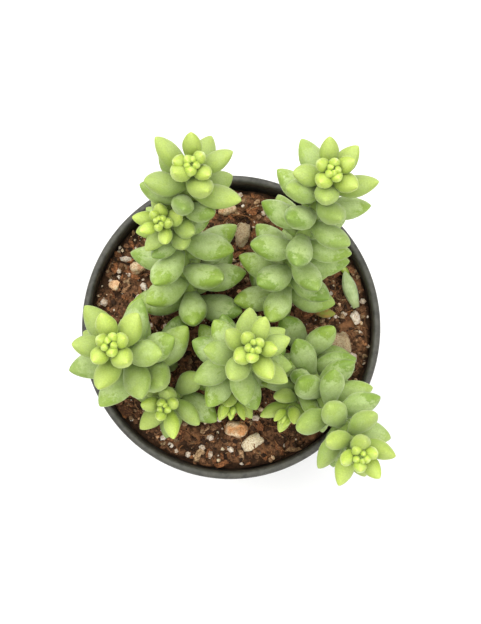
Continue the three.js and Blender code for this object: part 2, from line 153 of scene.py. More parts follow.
def lumps(points, size, seed):
    """Smooth noise from -1 to 1: a draw at each corner of a lattice with cells of that size,
    blended inside a cell with weights 3 w^2 - 2 w^3 along x, y and z."""
    cell = np.asarray(points) / size
    low = np.floor(cell)
    weight = cell - low
    weight = weight * weight * (3 - 2 * weight)
    low = low.astype(np.int64) + LATTICE_SHIFT
    total = 0.0
    for dx in (0, 1):
        for dy in (0, 1):
            for dz in (0, 1):
                across, along, up = low[..., 0] + dx, low[..., 1] + dy, low[..., 2] + dz
                corner = across + along * LATTICE_Y + up * LATTICE_Z
                share = (
                    (weight[..., 0] if dx else 1 - weight[..., 0])
                    * (weight[..., 1] if dy else 1 - weight[..., 1])
                    * (weight[..., 2] if dz else 1 - weight[..., 2])
                )
                total = total + share * spread(seed, corner)
    return total


print("lumps at two places:", np.round(lumps([[1.0, 2, 3], [8, 2, 3]], 2.5, 5), 3))

# %% [markdown]
# ## Materials from nodes
#
# A material is a small graph of nodes. Each finish below starts from Blender's Principled shader
# and adds what the real surface has: spots, bloom, dust. These helpers keep the graphs short to
# read.

# %% Small helpers for node graphs


def new_finish(name, roughness, **constants):
    """A material with a Principled shader. Constants are set on the shader's own sockets."""
    finish = bpy.data.materials.new(name)
    finish.use_nodes = True
    shader = finish.node_tree.nodes["Principled BSDF"]
    shader.inputs["Roughness"].default_value = roughness
    for key, value in constants.items():
        shader.inputs[key.replace("_", " ")].default_value = value
    return finish, shader


def add_node(finish, kind, **settings):
    """A node of a kind. Each setting is one of its own, or else the value of the input of that
    name."""
    node = finish.node_tree.nodes.new(kind)
    for key, value in settings.items():
        if hasattr(node, key):
            setattr(node, key, value)
        else:
            node.inputs[key.replace("_", " ")].default_value = value
    return node


def wire(finish, source, target):
    """A link from an output to an input."""
    finish.node_tree.links.new(source, target)


# %% Painted values and noise


def place_of(finish):
    """The point of the surface in the piece's own frame, in metres."""
    return add_node(finish, "ShaderNodeTexCoord").outputs["Object"]


def painted_value(finish, name):
    """A value painted on the mesh's points."""
    return add_node(finish, "ShaderNodeAttribute", attribute_name=name).outputs["Fac"]


def grain(finish, size_mm, detail=4.0, roughness=0.55, stretch=None):
    """Noise from 0 to 1 with lumps of about that size."""
    noise = add_node(finish, "ShaderNodeTexNoise", Scale=1 / (size_mm * MILLIMETRE), Detail=detail)
    noise.inputs["Roughness"].default_value = roughness
    place = place_of(finish)
    if stretch:
        mapping = add_node(finish, "ShaderNodeMapping")
        mapping.inputs["Scale"].default_value = stretch
        wire(finish, place, mapping.inputs["Vector"])
        place = mapping.outputs["Vector"]
    wire(finish, place, noise.inputs["Vector"])
    return noise.outputs["Fac"]


# %% Ramps, sums and blends


def ramp(finish, source, low, high, from_value=0.0, to_value=1.0):
    """A value that goes smoothly from one to another while the source goes from low to high."""
    node = add_node(finish, "ShaderNodeMapRange", interpolation_type="SMOOTHSTEP")
    limits = {"From Min": low, "From Max": high, "To Min": from_value, "To Max": to_value}
    for key, value in limits.items():
        node.inputs[key].default_value = value
    wire(finish, source, node.inputs["Value"])
    return node.outputs["Result"]


def combine(finish, operation, a, b):
    """Two values, each a number or an output, through a Math node."""
    node = add_node(finish, "ShaderNodeMath", operation=operation)
    for index, value in enumerate((a, b)):
        if isinstance(value, (int, float)):
            node.inputs[index].default_value = value
        else:
            wire(finish, value, node.inputs[index])
    return node.outputs["Value"]


def times(finish, a, b):
    """The product of two values."""
    return combine(finish, "MULTIPLY", a, b)


def blend_colours(finish, share, first, second, mode="MIX"):
    """A colour between two, each an (r, g, b) or an output, by a share from 0 to 1. On a Mix node
    of colours the share is input 0, the colours are inputs 6 and 7, and the result is output 2."""
    node = add_node(finish, "ShaderNodeMix", data_type="RGBA", blend_type=mode)
    sockets = (node.inputs[0], node.inputs[6], node.inputs[7])
    for socket, value in zip(sockets, (share, first, second)):
        if isinstance(value, tuple):
            socket.default_value = (*value, 1)
        elif isinstance(value, (int, float)):
            socket.default_value = value
        else:
            wire(finish, value, socket)
    return node.outputs[2]


def add_relief(finish, shader, height, depth_mm, strength=1.0):
    """Fine bumps in the surface, by a height from 0 to 1."""
    bump = add_node(finish, "ShaderNodeBump", Strength=strength, Distance=depth_mm * MILLIMETRE)
    wire(finish, height, bump.inputs["Height"])
    wire(finish, bump.outputs["Normal"], shader.inputs["Normal"])


# %% [markdown]
# ## The pot
#
# A nursery pot is blown or moulded from a thin sheet of black plastic. Its wall tapers so that pots
# nest, and a stepped collar with a rounded lip makes the thin wall stiff. It could be a cylinder
# that is scaled and bevelled, but a pot is a turned form: one profile, outside up and inside down,
# carried round the axis. Each corner of the profile gets a small round first, since moulded plastic
# has no sharp edge.

# %% The profile, with rounded corners
POT_HEIGHT = 88.0
RIM_RADIUS = 52.0
LIP_WIDTH = 2.8
COLLAR_HEIGHT = 12.0
COLLAR_FOOT = POT_HEIGHT - COLLAR_HEIGHT
COLLAR_STEP = 1.2
COLLAR_LEDGE = 1.8
COLLAR_EASE = 3.0
BASE_RADIUS = 37.0
WALL = 1.6
FLOOR = 2.4
INNER_RING = 6.0
ROUNDING_STEPS = 5


def wall_inside(z):
    """The inside radius at a height: the base's plus a share of the taper, and over a few
    millimetres at the collar's foot a blend to the collar's own radius."""
    widening = RIM_RADIUS - COLLAR_STEP - COLLAR_LEDGE - BASE_RADIUS
    tapered = BASE_RADIUS - WALL + widening * np.minimum(z, COLLAR_FOOT) / COLLAR_FOOT
    share = np.clip((z - COLLAR_FOOT) / COLLAR_EASE, 0, 1)
    return tapered + share * (RIM_RADIUS - LIP_WIDTH - tapered)


def rounded(corners, radii):
    """A polyline with each inner corner replaced by a curve: (1-s)^2 a + 2 s (1-s) corner + s^2 b.
    Here a and b lie on the corner's two sides, the radius away but at most 0.45 of that side."""
    corners = np.asarray(corners, float)
    line = [corners[:1]]
    s = np.linspace(0, 1, ROUNDING_STEPS + 1)[:, None]
    for before, corner, after, radius in zip(corners, corners[1:], corners[2:], radii):
        reach = [min(radius, 0.45 * np.linalg.norm(other - corner)) for other in (before, after)]
        a, b = (
            corner + (other - corner) / np.linalg.norm(other - corner) * away
            for other, away in zip((before, after), reach)
        )
        line.append((1 - s) ** 2 * a + 2 * s * (1 - s) * corner + s**2 * b)
    return np.vstack([*line, corners[-1:]])


pot_corners = [
    # (radius, height), from the underside up the outside, over the lip and down the inside
    (INNER_RING, 0),
    (BASE_RADIUS, 0),
    (wall_inside(COLLAR_FOOT) + WALL, COLLAR_FOOT),
    (RIM_RADIUS - COLLAR_STEP, COLLAR_FOOT + 0.5),
    (RIM_RADIUS, POT_HEIGHT - 1.0),
    (RIM_RADIUS - 0.7, POT_HEIGHT),
    (RIM_RADIUS - LIP_WIDTH + 0.6, POT_HEIGHT),
    (RIM_RADIUS - LIP_WIDTH, POT_HEIGHT - 1.4),
    (wall_inside(COLLAR_FOOT + COLLAR_EASE), COLLAR_FOOT + COLLAR_EASE),
    (wall_inside(COLLAR_FOOT), COLLAR_FOOT),
    (wall_inside(FLOOR), FLOOR),
    (INNER_RING, FLOOR),
]
pot_radii = [2.2, 0.5, 0.6, 0.8, 0.7, 0.7, 0.8, 1.2, 1.2, 1.6]
pot_profile = rounded(pot_corners, pot_radii)
print("points in the pot's profile:", len(pot_profile))

# %% The profile carried round the axis
POT_SIDES = 192
LONGEST_PIECE = 9.0


def turned(profile, sides):
    """Every profile point (r, z) carried round the axis: (r cos a, r sin a, z)."""
    a = angles_round(sides)
    r, z = np.asarray(profile)[:, :1], np.asarray(profile)[:, 1:]
    return np.stack([r * np.cos(a), r * np.sin(a), z + 0 * a], -1)


def spaced(profile, step):
    """The same polyline with points added so that none of its pieces is longer than a step."""
    parts = []
    for a, b in zip(profile[:-1], profile[1:]):
        count = max(1, int(np.ceil(np.linalg.norm(b - a) / step)))
        parts.append(a + (b - a) * np.linspace(0, 1, count, endpoint=False)[:, None])
    return np.vstack([*parts, profile[-1:]])


pot_line = spaced(pot_profile, LONGEST_PIECE)
pot_rings = turned(pot_line, POT_SIDES)
print("rings in the pot:", len(pot_rings))

# %% [markdown]
# The collar of a soft pot is never quite round. This one is pressed oval: longer from front to back
# by about a hundredth of its radius, most so at the back. Scaling the whole mesh would press the
# stiff base too, so each point moves out by a share of its radius that grows with the square of its
# height.

# %% Press the collar oval
OVAL = 0.01
BULGE = 0.006
WOBBLE = 0.0015
WOBBLE_START = 2.1
STIFF_UP_TO = 40.0

around = angles_round(POT_SIDES)
high_up = np.clip((pot_line[:, 1:] - STIFF_UP_TO) / (POT_HEIGHT - STIFF_UP_TO), 0, 1) ** 2
pressed = 0.4 * OVAL - OVAL * np.cos(2 * around) + BULGE * np.sin(around)
pressed = pressed + WOBBLE * np.sin(3 * around + WOBBLE_START)
pot_rings[..., :2] *= (1 + high_up * pressed)[..., None]
print("most that the collar is pressed out, as a share:", round(float(pressed.max()), 4))

# %% [markdown]
# The pot is recycled black plastic. Black alone would look like a hole in the picture, so the
# finish adds what use has left on it: faint swirls, dust, dried splashes, scuffs on the lip, and
# stains from the mix inside. Two painted values tell it where the scuffs and the stains may lie.

# %% The plastic


def pot_plastic():
    """Black recycled plastic: satin, with faint swirls, dust, dried splashes, scuffs where the
    painted value worn is high, and stains from the mix where soiled is."""
    finish, shader = new_finish("pot_plastic", 0.5, Specular_IOR_Level=0.42)
    cloud = grain(finish, 22, detail=6)
    swirls = ramp(finish, cloud, 0.35, 0.7)
    colour = blend_colours(finish, swirls, (0.022, 0.0215, 0.018), (0.042, 0.041, 0.034))
    fine = grain(finish, 1.1, detail=3)
    dusty = ramp(finish, cloud, 0.4, 0.65, 0.0, 0.45)
    dust = times(finish, ramp(finish, fine, 0.52, 0.75), dusty)
    colour = blend_colours(finish, dust, colour, (0.15, 0.13, 0.1))
    splashes = ramp(finish, grain(finish, 0.55, detail=1), 0.74, 0.8, 0.0, 0.5)
    colour = blend_colours(finish, splashes, colour, (0.24, 0.2, 0.15))
    scuffs = ramp(finish, grain(finish, 2.4, detail=6), 0.3, 0.7, 0.0, 0.75)
    scuffs = times(finish, painted_value(finish, "worn"), scuffs)
    colour = blend_colours(finish, scuffs, colour, (0.085, 0.082, 0.067))
    stain = ramp(finish, grain(finish, 3.2, detail=7), 0.35, 0.62, 0.0, 0.8)
    stain = times(finish, painted_value(finish, "soiled"), stain)
    colour = blend_colours(finish, stain, colour, (0.045, 0.026, 0.014))
    wire(finish, colour, shader.inputs["Base Color"])
    wire(finish, ramp(finish, cloud, 0.3, 0.7, 0.42, 0.62), shader.inputs["Roughness"])
    flow = grain(finish, 0.9, detail=4, stretch=(1, 1, 0.25))
    flow = combine(finish, "ADD", flow, times(finish, fine, 0.5))
    add_relief(finish, shader, flow, 0.06, 0.6)
    return finish


pot_material = pot_plastic()
print("nodes in the plastic:", len(pot_material.node_tree.nodes))

# %% Make the pot
INNER_SKIN = 0.6
SCUFFED_FROM = 84.5
SOILED_UP_TO = 86.5

height = np.append(np.repeat(pot_line[:, 1], POT_SIDES), [0, FLOOR])
pot_points = np.vstack([pot_rings.reshape(-1, 3), [[0, 0, 0], [0, 0, FLOOR]]])
reach = np.hypot(pot_points[:, 0], pot_points[:, 1])
inside = (reach < wall_inside(height) + INNER_SKIN) & (height > FLOOR)
pot = put_piece(
    "nursery_pot",
    pot_points,
    ring_faces(len(pot_line), POT_SIDES, closed_ends=True),
    pot_material,
    ["pot"],
    "pot",
    worn=np.clip((height - SCUFFED_FROM) / 3, 0, 1) + 0.6 * (height < 1.5),
    soiled=np.where(inside, np.clip((SOILED_UP_TO - height) / 7, 0, 1), 0),
)

# %% [markdown]
# The drain holes go through the floor near its edge. They are cut with a boolean, because a round
# hole doesn't follow the grid of a turned floor. The cutters are removed afterwards.

# %% Cut the drain holes
DRAIN_HOLES = 6
DRAIN_RADIUS = 3.6
DRAIN_CIRCLE = 29.0
DRAIN_SIDES = 32
CUTTER_TURN = 0.047
MERGED_WITHIN = 0.01


def cut_drain_holes(piece):
    """Takes upright cylinders, spaced evenly on a circle, out of the piece's floor. They are turned
    a little, so that none of their corners lies on the floor's own lines. Points that all but
    coincide after the cuts are merged, so that no sliver stays."""
    bpy.context.view_layer.objects.active = piece
    for a in angles_round(DRAIN_HOLES):
        at = [DRAIN_CIRCLE * MILLIMETRE * math.cos(a), DRAIN_CIRCLE * MILLIMETRE * math.sin(a), 0]
        bpy.ops.mesh.primitive_cylinder_add(
            vertices=DRAIN_SIDES,
            radius=DRAIN_RADIUS * MILLIMETRE,
            depth=4 * FLOOR * MILLIMETRE,
            location=at,
            rotation=(0, 0, CUTTER_TURN),
        )
        cutter = bpy.context.object
        modifier = piece.modifiers.new("drain", "BOOLEAN")
        modifier.operation = "DIFFERENCE"
        modifier.solver = "EXACT"
        modifier.object = cutter
        bpy.context.view_layer.objects.active = piece
        bpy.ops.object.modifier_apply(modifier=modifier.name)
        bpy.data.objects.remove(cutter)
    shell = bmesh.new()
    shell.from_mesh(piece.data)
    bmesh.ops.remove_doubles(shell, verts=shell.verts, dist=MERGED_WITHIN * MILLIMETRE)
    bmesh.ops.dissolve_degenerate(shell, edges=shell.edges, dist=MERGED_WITHIN * MILLIMETRE)
    shell.to_mesh(piece.data)
    shell.free()
    print("faces of the pot after the holes:", len(piece.data.polygons))


cut_drain_holes(pot)

# %% [markdown]
# ## The potting mix
#
# The mix is mostly dark: damp bark crumbs and coir, full of small shaded hollows. It could be a
# flat disc with a picture of soil, but light only falls into real hollows. So the plug that fills
# the pot has a lumpy top surface, and thousands of crumbs, chips and fibres are strewn on it as
# real shapes. The plug's height is the same formula as the solid one's, with smaller lumps added.

# %% The plug's surface
SOIL_TOP = 82.0
SOIL_FALL = 0.9
FALL_RADIUS = 46.0
GAP = 0.35


def soil_height(x, y):
    """The top of the mix: its level, plus swells of 0.7 mm about 40 mm apart and ripples of 0.35 mm
    about 12 mm apart, minus a fall towards the wall that grows with the square of the radius."""
    swell = 0.7 * np.sin(0.17 * x + 0.6) * np.cos(0.15 * y - 0.4)
    ripple = 0.35 * np.sin(0.41 * x - 0.33 * y + 1.1)
    return SOIL_TOP + swell + ripple - SOIL_FALL * (x * x + y * y) / FALL_RADIUS**2


print("heights in the middle and at the wall:", soil_height(np.array([0, 46]), 0).round(2))

# %% Its roughness
SOIL_EDGE = wall_inside(SOIL_TOP) - GAP
EDGE_WIDTH = 2.4
EDGE_DROP = 1.5
CRUMB_REACH = 0.25


def mix_roughness(x, y):
    """Lumps of 5, 2.4 and 1 mm added up, in millimetres of height. Mix shrinks from the wall as it
    dries, so it drops over its last few millimetres, by the square of the way to the edge."""
    flat = np.stack([x, y, 0 * x], -1)
    rough = 0.7 * lumps(flat, 5.0, 401) + 0.75 * lumps(flat, 2.4, 402)
    rough = rough + 0.35 * lumps(flat, 1.0, 403)
    way = np.clip((np.hypot(x, y) - SOIL_EDGE) / EDGE_WIDTH + 1, 0, 1)
    return rough - EDGE_DROP * way**2


def mix_surface(x, y):
    """The solid's height plus the roughness, and a little lower so that crumbs reach the solid's
    level."""
    return soil_height(x, y) + mix_roughness(x, y) - CRUMB_REACH


two_places = mix_roughness(np.array([0.0, 20]), np.array([5.0, 5]))
print("roughness at two places in mm:", two_places.round(2))

# %% The whole plug
SOIL_SIDES = 420
SOIL_RINGS = 108
FIRST_RING = 0.4

top_rings = np.linspace(FIRST_RING, SOIL_EDGE, SOIL_RINGS)
side_heights = np.array([COLLAR_FOOT + COLLAR_EASE, COLLAR_FOOT, FLOOR + GAP])
rings = np.append(top_rings, wall_inside(side_heights) - GAP)
a = angles_round(SOIL_SIDES)
x, y = rings[:, None] * np.cos(a), rings[:, None] * np.sin(a)
z = np.vstack([mix_surface(x, y)[:SOIL_RINGS], side_heights[:, None] + 0 * x[-3:]])
middle = [[0, 0, float(mix_surface(np.zeros(1), np.zeros(1))[0])], [0, 0, FLOOR + GAP]]
plug_points = np.vstack([np.stack([x, y, z], -1).reshape(-1, 3), middle])
plug_faces = [face[::-1] for face in ring_faces(len(rings), SOIL_SIDES, closed_ends=True)]
print("the mix's top lies between", round(z[:-3].min(), 1), "and", round(z[:-3].max(), 1), "mm")

# %% [markdown]
# Damp mix is red-brown on the crumbs that dry first. Its hollows are darkened nearly to black by
# painted shade, which also lies in the band where the mix drops away from the wall. The finish could
# guess the hollows from noise of its own, but it would put dark patches on raised places too. So the
# depth of each point is painted on the mesh.

# %% The colour of damp mix


def mix_finish():
    """Damp bark and coir: red-brown on crumbs, nearly black where painted shade lies in the hollows.
    """
    finish, shader = new_finish("potting_mix", 0.9, Specular_IOR_Level=0.18)
    crumbs = grain(finish, 1.3, detail=8, roughness=0.65)
    raised = ramp(finish, crumbs, 0.34, 0.64)
    colour = blend_colours(finish, raised, (0.035, 0.017, 0.008), (0.24, 0.115, 0.055))
    patches = grain(finish, 7.0, detail=3)
    warm = blend_colours(finish, 0.6, colour, (0.32, 0.145, 0.062))
    colour = blend_colours(finish, ramp(finish, patches, 0.45, 0.7), colour, warm)
    # Painted shade: the hollows, and the band where the mix drops away from the wall, are darkened
    # nearly to black.
    painted_hollow_shade = ramp(finish, painted_value(finish, "hollow"), 0.15, 0.85, 0.0, 0.85)
    colour = blend_colours(finish, painted_hollow_shade, colour, (0.034, 0.017, 0.009))
    add_relief(finish, shader, crumbs, 0.7, 0.9)
    wire(finish, colour, shader.inputs["Base Color"])
    return finish


mix_material = mix_finish()
# The depth of each point below the mix's level, which sets how much painted shade lies there.
hollow = np.clip(0.45 - 0.8 * mix_roughness(plug_points[:, 0], plug_points[:, 1]), 0, 1)
put_piece("potting_mix", plug_points, plug_faces, mix_material, ["soil"], "soil", hollow=hollow)

# %% [markdown]
# ## Strewing crumbs, chips, fibres and grains
#
# Small things lie on the mix in their thousands, so each has only a few faces. A handful of corners
# on a lumpy ball or a flat sliver is enough at this size. They are made as one array: every corner
# of every chip is its own shape's corner, turned, sized and moved to its place. Blender could
# scatter them with geometry nodes, but arrays keep each chip plain mesh that any other program can
# open.

# %% A few-sided ball
GOLDEN = (1 + 5**0.5) / 2
# Twelve corners on three rectangles that cross: an icosahedron.
BALL = np.array(
    [(0, i, j * GOLDEN) for i in (-1, 1) for j in (-1, 1)]
    + [(i, j * GOLDEN, 0) for i in (-1, 1) for j in (-1, 1)]
    + [(j * GOLDEN, 0, i) for i in (-1, 1) for j in (-1, 1)]
) / np.hypot(1, GOLDEN)


def hull_faces(points):
    """The triangles of a convex set of corners: each set of three corners that has all others
    behind it, in the order that faces out."""
    count = len(points)
    i, j, k = (index.ravel() for index in np.meshgrid(*[np.arange(count)] * 3, indexing="ij"))
    keep = (i < j) & (i < k) & (j != k)
    i, j, k = i[keep], j[keep], k[keep]
    normal = np.cross(points[j] - points[i], points[k] - points[i])
    behind = ((points[None] - points[i][:, None]) * normal[:, None]).sum(-1) < 1e-9
    return np.stack([i, j, k], -1)[behind.all(1)]


BALL_FACES = hull_faces(BALL)
print("faces of the small ball:", len(BALL_FACES))

# %% Chance sizes and turns
# The second and third value of a seed are drawn this far on, so that no two share a draw.
NEXT_DRAWS = 20000


def chance_range(seed, count, least, more, power=1):
    """Sizes least + more d^power from a count of draws d. A higher power leaves more small ones."""
    return least + more * draw(seed, np.arange(count)) ** power


def chance_turns(count, seed, lying=0.0):
    """One turn matrix for each of a count of things: a spin about its own upright, then a tip about
    a level direction by up to a right angle, less where they tend to lie flat."""
    spin, way, tip = (draw(seed, np.arange(count) + shift * NEXT_DRAWS) for shift in range(3))
    spin, way = spin * FULL_TURN, way * FULL_TURN
    tip = (1 - lying) * (tip - 0.5) * np.pi
    cos, sin, none = np.cos(spin), np.sin(spin), np.zeros(count)
    spun = np.stack([cos, -sin, none, sin, cos, none, none, none, none + 1], -1).reshape(-1, 3, 3)
    ax, ay = np.cos(way), np.sin(way)
    c, s, v = np.cos(tip), np.sin(tip), 1 - np.cos(tip)
    tipped = [
        c + ax * ax * v, ax * ay * v, ay * s,
        ax * ay * v, c + ay * ay * v, -ax * s,
        -ay * s, ax * s, c,
    ]
    return np.stack(tipped, -1).reshape(-1, 3, 3) @ spun


print("sizes drawn from 1 to 3:", chance_range(7, 4, 1, 2).round(2))

# %% Where things are strewn
ANGLE_DRAWS = 50000
STREWN_EDGE = SOIL_EDGE + 0.2


def strewn_places(count, seed, clear_radius=0.8):
    """Chance places, even over the mix: the radius goes with the square root of a draw."""
    n = np.arange(count)
    r = (SOIL_EDGE - clear_radius) * np.sqrt(draw(seed, n))
    a = draw(seed, n + ANGLE_DRAWS) * FULL_TURN
    return r * np.cos(a), r * np.sin(a)


def strew(
    name, shape, shape_faces, sizes, seed, sink, material,
    lying=0.0, slot="soil", places=None, jag=0.25,
):
    """One mesh of many copies of a shape. Each corner moves in or out by a draw, then the copy is
    sized, turned and set on the mix, its middle raised by sink, a share of its half height. Corners
    past the strewn edge are pulled in to it. Each copy carries a tint of its own, from 0 to 1."""
    count = len(sizes)
    x, y = strewn_places(count, seed) if places is None else places
    jitter = 1 + jag * spread(seed + 1, np.arange(count * len(shape)).reshape(count, -1))
    corners = shape[None] * jitter[..., None] * sizes[:, None]
    corners = np.einsum("nij,nkj->nki", chance_turns(count, seed + 2, lying), corners)
    half_height = corners[..., 2].max(1)
    base = mix_surface(x, y) + sink * half_height
    points = corners + np.stack([x, y, base], -1)[:, None]
    out = np.hypot(points[..., 0], points[..., 1])
    points[..., :2] *= np.minimum(1, STREWN_EDGE / np.maximum(out, 1e-6))[..., None]
    faces = (shape_faces[None] + len(shape) * np.arange(count)[:, None, None]).reshape(-1, 3)
    tint = np.repeat(draw(seed + 3, np.arange(count)), len(shape))
    return put_piece(
        name, points.reshape(-1, 3), faces.tolist(), material, slot=slot, smooth=False, tint=tint
    )


x, y = strewn_places(1000, 1)
print("share that lies within half the radius:", np.mean(np.hypot(x, y) < SOIL_EDGE / 2))

# %% [markdown]
# Crumbs are the smallest bits of bark, rounded by handling, and most of them are no bigger than a
# millimetre. Chips are flat splinters that tend to lie flat. A crumb is the small ball with its
# corners pushed about, and a chip is a low prism with six uneven sides.

# %% Crumbs of bark
CRUMBS = 3600


def bark_finish(name, dark, warm, pale):
    """Bark and coir pith: each piece has its own brown, from nearly black to red-brown to straw."""
    finish, shader = new_finish(name, 0.85, Specular_IOR_Level=0.3)
    tint = painted_value(finish, "tint")
    colour = blend_colours(finish, ramp(finish, tint, 0.0, 0.75), dark, warm)
    colour = blend_colours(finish, ramp(finish, tint, 0.8, 1.0), colour, pale)
    fibres = grain(finish, 0.6, detail=5, stretch=(1, 1, 2.5))
    darker = blend_colours(finish, 1.0, colour, (0.35, 0.32, 0.3), mode="MULTIPLY")
    colour = blend_colours(finish, ramp(finish, fibres, 0.4, 0.7), darker, colour)
    add_relief(finish, shader, fibres, 0.25, 0.8)
    wire(finish, colour, shader.inputs["Base Color"])
    return finish


crumb_material = bark_finish(
    "bark_crumbs", (0.05, 0.023, 0.01), (0.31, 0.15, 0.07), (0.52, 0.36, 0.2)
)
crumb_form = [
    chance_range(512, CRUMBS, 1, 0.5),
    chance_range(513, CRUMBS, 0.8, 0.3),
    chance_range(514, CRUMBS, 0.6, 0.3),
]
crumb_sizes = chance_range(511, CRUMBS, 0.3, 0.85, 2.2)[:, None] * np.stack(crumb_form, -1)
strew("bark_crumbs", BALL, BALL_FACES, crumb_sizes, 510, 0.25, crumb_material, jag=0.35)

# %% Chips of bark
CHIPS = 520
SLIVER = np.array(
    [
        (-1, -0.5, -0.5), (-0.35, -1, -0.5), (0.5, -0.85, -0.5),
        (1, -0.2, -0.5), (0.7, 0.75, -0.5), (-0.6, 0.9, -0.5),
        (-0.9, -0.4, 0.5), (-0.3, -0.85, 0.6), (0.45, -0.8, 0.5),
        (0.9, -0.1, 0.55), (0.6, 0.65, 0.5), (-0.5, 0.8, 0.5),
    ]
)


def prism_faces(sides):
    """The triangles of a low prism: a fan for its bottom and top, and two for each side."""
    i = np.arange(sides)
    j = (i + 1) % sides
    walls = np.vstack([np.stack([i, j, j + sides], -1), np.stack([i, j + sides, i + sides], -1)])
    k = np.arange(1, sides - 1)
    bottom = np.stack([0 * k, k + 1, k], -1)
    top = np.stack([0 * k + sides, k + sides, k + 1 + sides], -1)
    return np.vstack([walls, bottom, top])


chip_material = bark_finish(
    "bark_chips", (0.055, 0.025, 0.011), (0.42, 0.17, 0.065), (0.6, 0.4, 0.22)
)
length = chance_range(521, CHIPS, 0.9, 2.2, 2.2)
width = length * chance_range(522, CHIPS, 0.3, 0.35)
chip_sizes = np.stack([length, width, chance_range(523, CHIPS, 0.3, 0.45)], -1)
strew(
    "bark_chips", SLIVER, prism_faces(6), chip_sizes, 520, 0.35, chip_material,
    lying=0.72, jag=0.14,
)

# %% [markdown]
# Coir fibres are thin, springy and curled, a few millimetres long. A tube carried along a bent path
# is the natural form: a circle of four points at each of eight stations, with the middle lifted.

# %% Coir fibres
FIBRES = 420
FIBRE_STATIONS = 8
FIBRE_SIDES = 4
FIBRE_TURNING = 2.4
FIBRE_BOW = 0.22
FIBRE_LIFT = 0.35
FIBRE_EDGE = SOIL_EDGE - 0.6


def fibres(count, seed, material):
    """Thin tubes along curved paths. With s from -1/2 to 1/2 along a fibre, its heading turns in
    proportion to s from a chance one, it bows up by 1 - 4 s^2 times a share of its length, and it
    tapers to both ends by the cube of 2 s."""
    n = np.arange(count)
    x, y = strewn_places(count, seed, clear_radius=3.0)
    length = chance_range(seed + 1, count, 3.0, 7.0, 1.5)
    heading = draw(seed + 2, n) * FULL_TURN
    turning = FIBRE_TURNING * spread(seed + 3, n)
    bow = FIBRE_BOW * draw(seed + 4, n)
    s = np.linspace(-0.5, 0.5, FIBRE_STATIONS)
    angle = heading[:, None] + turning[:, None] * s
    step = length[:, None] / FIBRE_STATIONS
    half = 0.5 * length[:, None]
    px = x[:, None] + np.cumsum(np.cos(angle) * step, 1) - half * np.cos(heading)[:, None]
    py = y[:, None] + np.cumsum(np.sin(angle) * step, 1) - half * np.sin(heading)[:, None]
    pull = np.minimum(1, FIBRE_EDGE / np.maximum(np.hypot(px, py), 1e-6))
    px, py = px * pull, py * pull
    pz = mix_surface(px, py) + FIBRE_LIFT + (bow * length)[:, None] * (1 - 4 * s**2)
    radius = chance_range(seed + 5, count, 0.1, 0.12)[:, None] * (1 - 0.75 * np.abs(2 * s) ** 3)
    a = angles_round(FIBRE_SIDES)
    side = np.stack([-np.sin(angle), np.cos(angle), 0 * angle], -1)
    ring = np.cos(a)[:, None] * side[:, :, None] + np.sin(a)[:, None] * np.array([0, 0, 1.0])
    points = np.stack([px, py, pz], -1)[:, :, None] + radius[..., None, None] * ring
    one = np.array(ring_faces(FIBRE_STATIONS, FIBRE_SIDES))
    per = FIBRE_STATIONS * FIBRE_SIDES
    ends = np.array([[3, 2, 1, 0], [per - 4, per - 3, per - 2, per - 1]])
    faces = (np.vstack([one, ends])[None] + per * n[:, None, None]).reshape(-1, 4)
    tint = np.repeat(draw(seed + 6, n), per)
    return put_piece(
        "coir_fibres", points.reshape(-1, 3), faces.tolist(), material, slot="soil", tint=tint
    )


fibre_material = bark_finish("coir", (0.16, 0.07, 0.028), (0.48, 0.22, 0.085), (0.6, 0.4, 0.21))
fibres(FIBRES, 530, fibre_material)

# %% [markdown]
# ## Grit
#
# Perlite is white expanded glass, light as foam, and pumice is a pinkish-tan volcanic stone. Both
# drain the mix. Small grains are strewn like the crumbs. The larger ones stand where the photo
# shows them, and each is a ball pushed in and out by lumps, with pores as smaller lumps.

# %% The finish of grit


def grit_finish(name, shade, pale, porosity, rusty):
    """Porous grit: a pale body with rusty patches, stained darker in its pores, each grain a little
    different, and darker and browner where the painted value soiled is high, partly its
    own duller colour and partly painted shade from the leaves over it."""
    finish, shader = new_finish(name, 0.88, Specular_IOR_Level=0.25, Subsurface_Weight=0.1)
    shader.inputs["Subsurface Radius"].default_value = (1.0, 0.8, 0.6)
    shader.inputs["Subsurface Scale"].default_value = 0.4 * MILLIMETRE
    tint = painted_value(finish, "tint")
    colour = blend_colours(finish, tint, shade, pale)
    patches = ramp(finish, grain(finish, 3.6, detail=4), 0.44, 0.58)
    rust = times(finish, patches, rusty)
    rust = times(finish, rust, ramp(finish, tint, 0.2, 0.9, 1.0, 0.0))
    colour = blend_colours(finish, rust, colour, (0.8, 0.36, 0.13))
    pores = grain(finish, 0.45, detail=5, roughness=0.6)
    stain = blend_colours(finish, 1.0, colour, (0.6, 0.45, 0.33), mode="MULTIPLY")
    colour = blend_colours(finish, ramp(finish, pores, 0.36, 0.55), stain, colour)
    dirt = ramp(finish, grain(finish, 1.8, detail=5), 0.5, 0.72)
    stained = times(finish, dirt, porosity)
    colour = blend_colours(finish, stained, colour, (0.2, 0.11, 0.06))
    # Partly a duller colour, partly painted shade: stones among the leaves are darkened and browned.
    stained_and_shaded = blend_colours(finish, 1.0, colour, (0.5, 0.42, 0.34), mode="MULTIPLY")
    colour = blend_colours(finish, painted_value(finish, "soiled"), colour, stained_and_shaded)
    add_relief(finish, shader, pores, 0.3, 0.9)
    wire(finish, colour, shader.inputs["Base Color"])
    return finish


perlite_material = grit_finish("perlite", (0.66, 0.57, 0.46), (0.86, 0.8, 0.7), 0.4, 0.05)
pumice_material = grit_finish("pumice", (0.82, 0.6, 0.38), (0.8, 0.73, 0.53), 0.4, 0.8)
print("nodes in the finish of grit:", len(pumice_material.node_tree.nodes))

# %% Strew the small grit


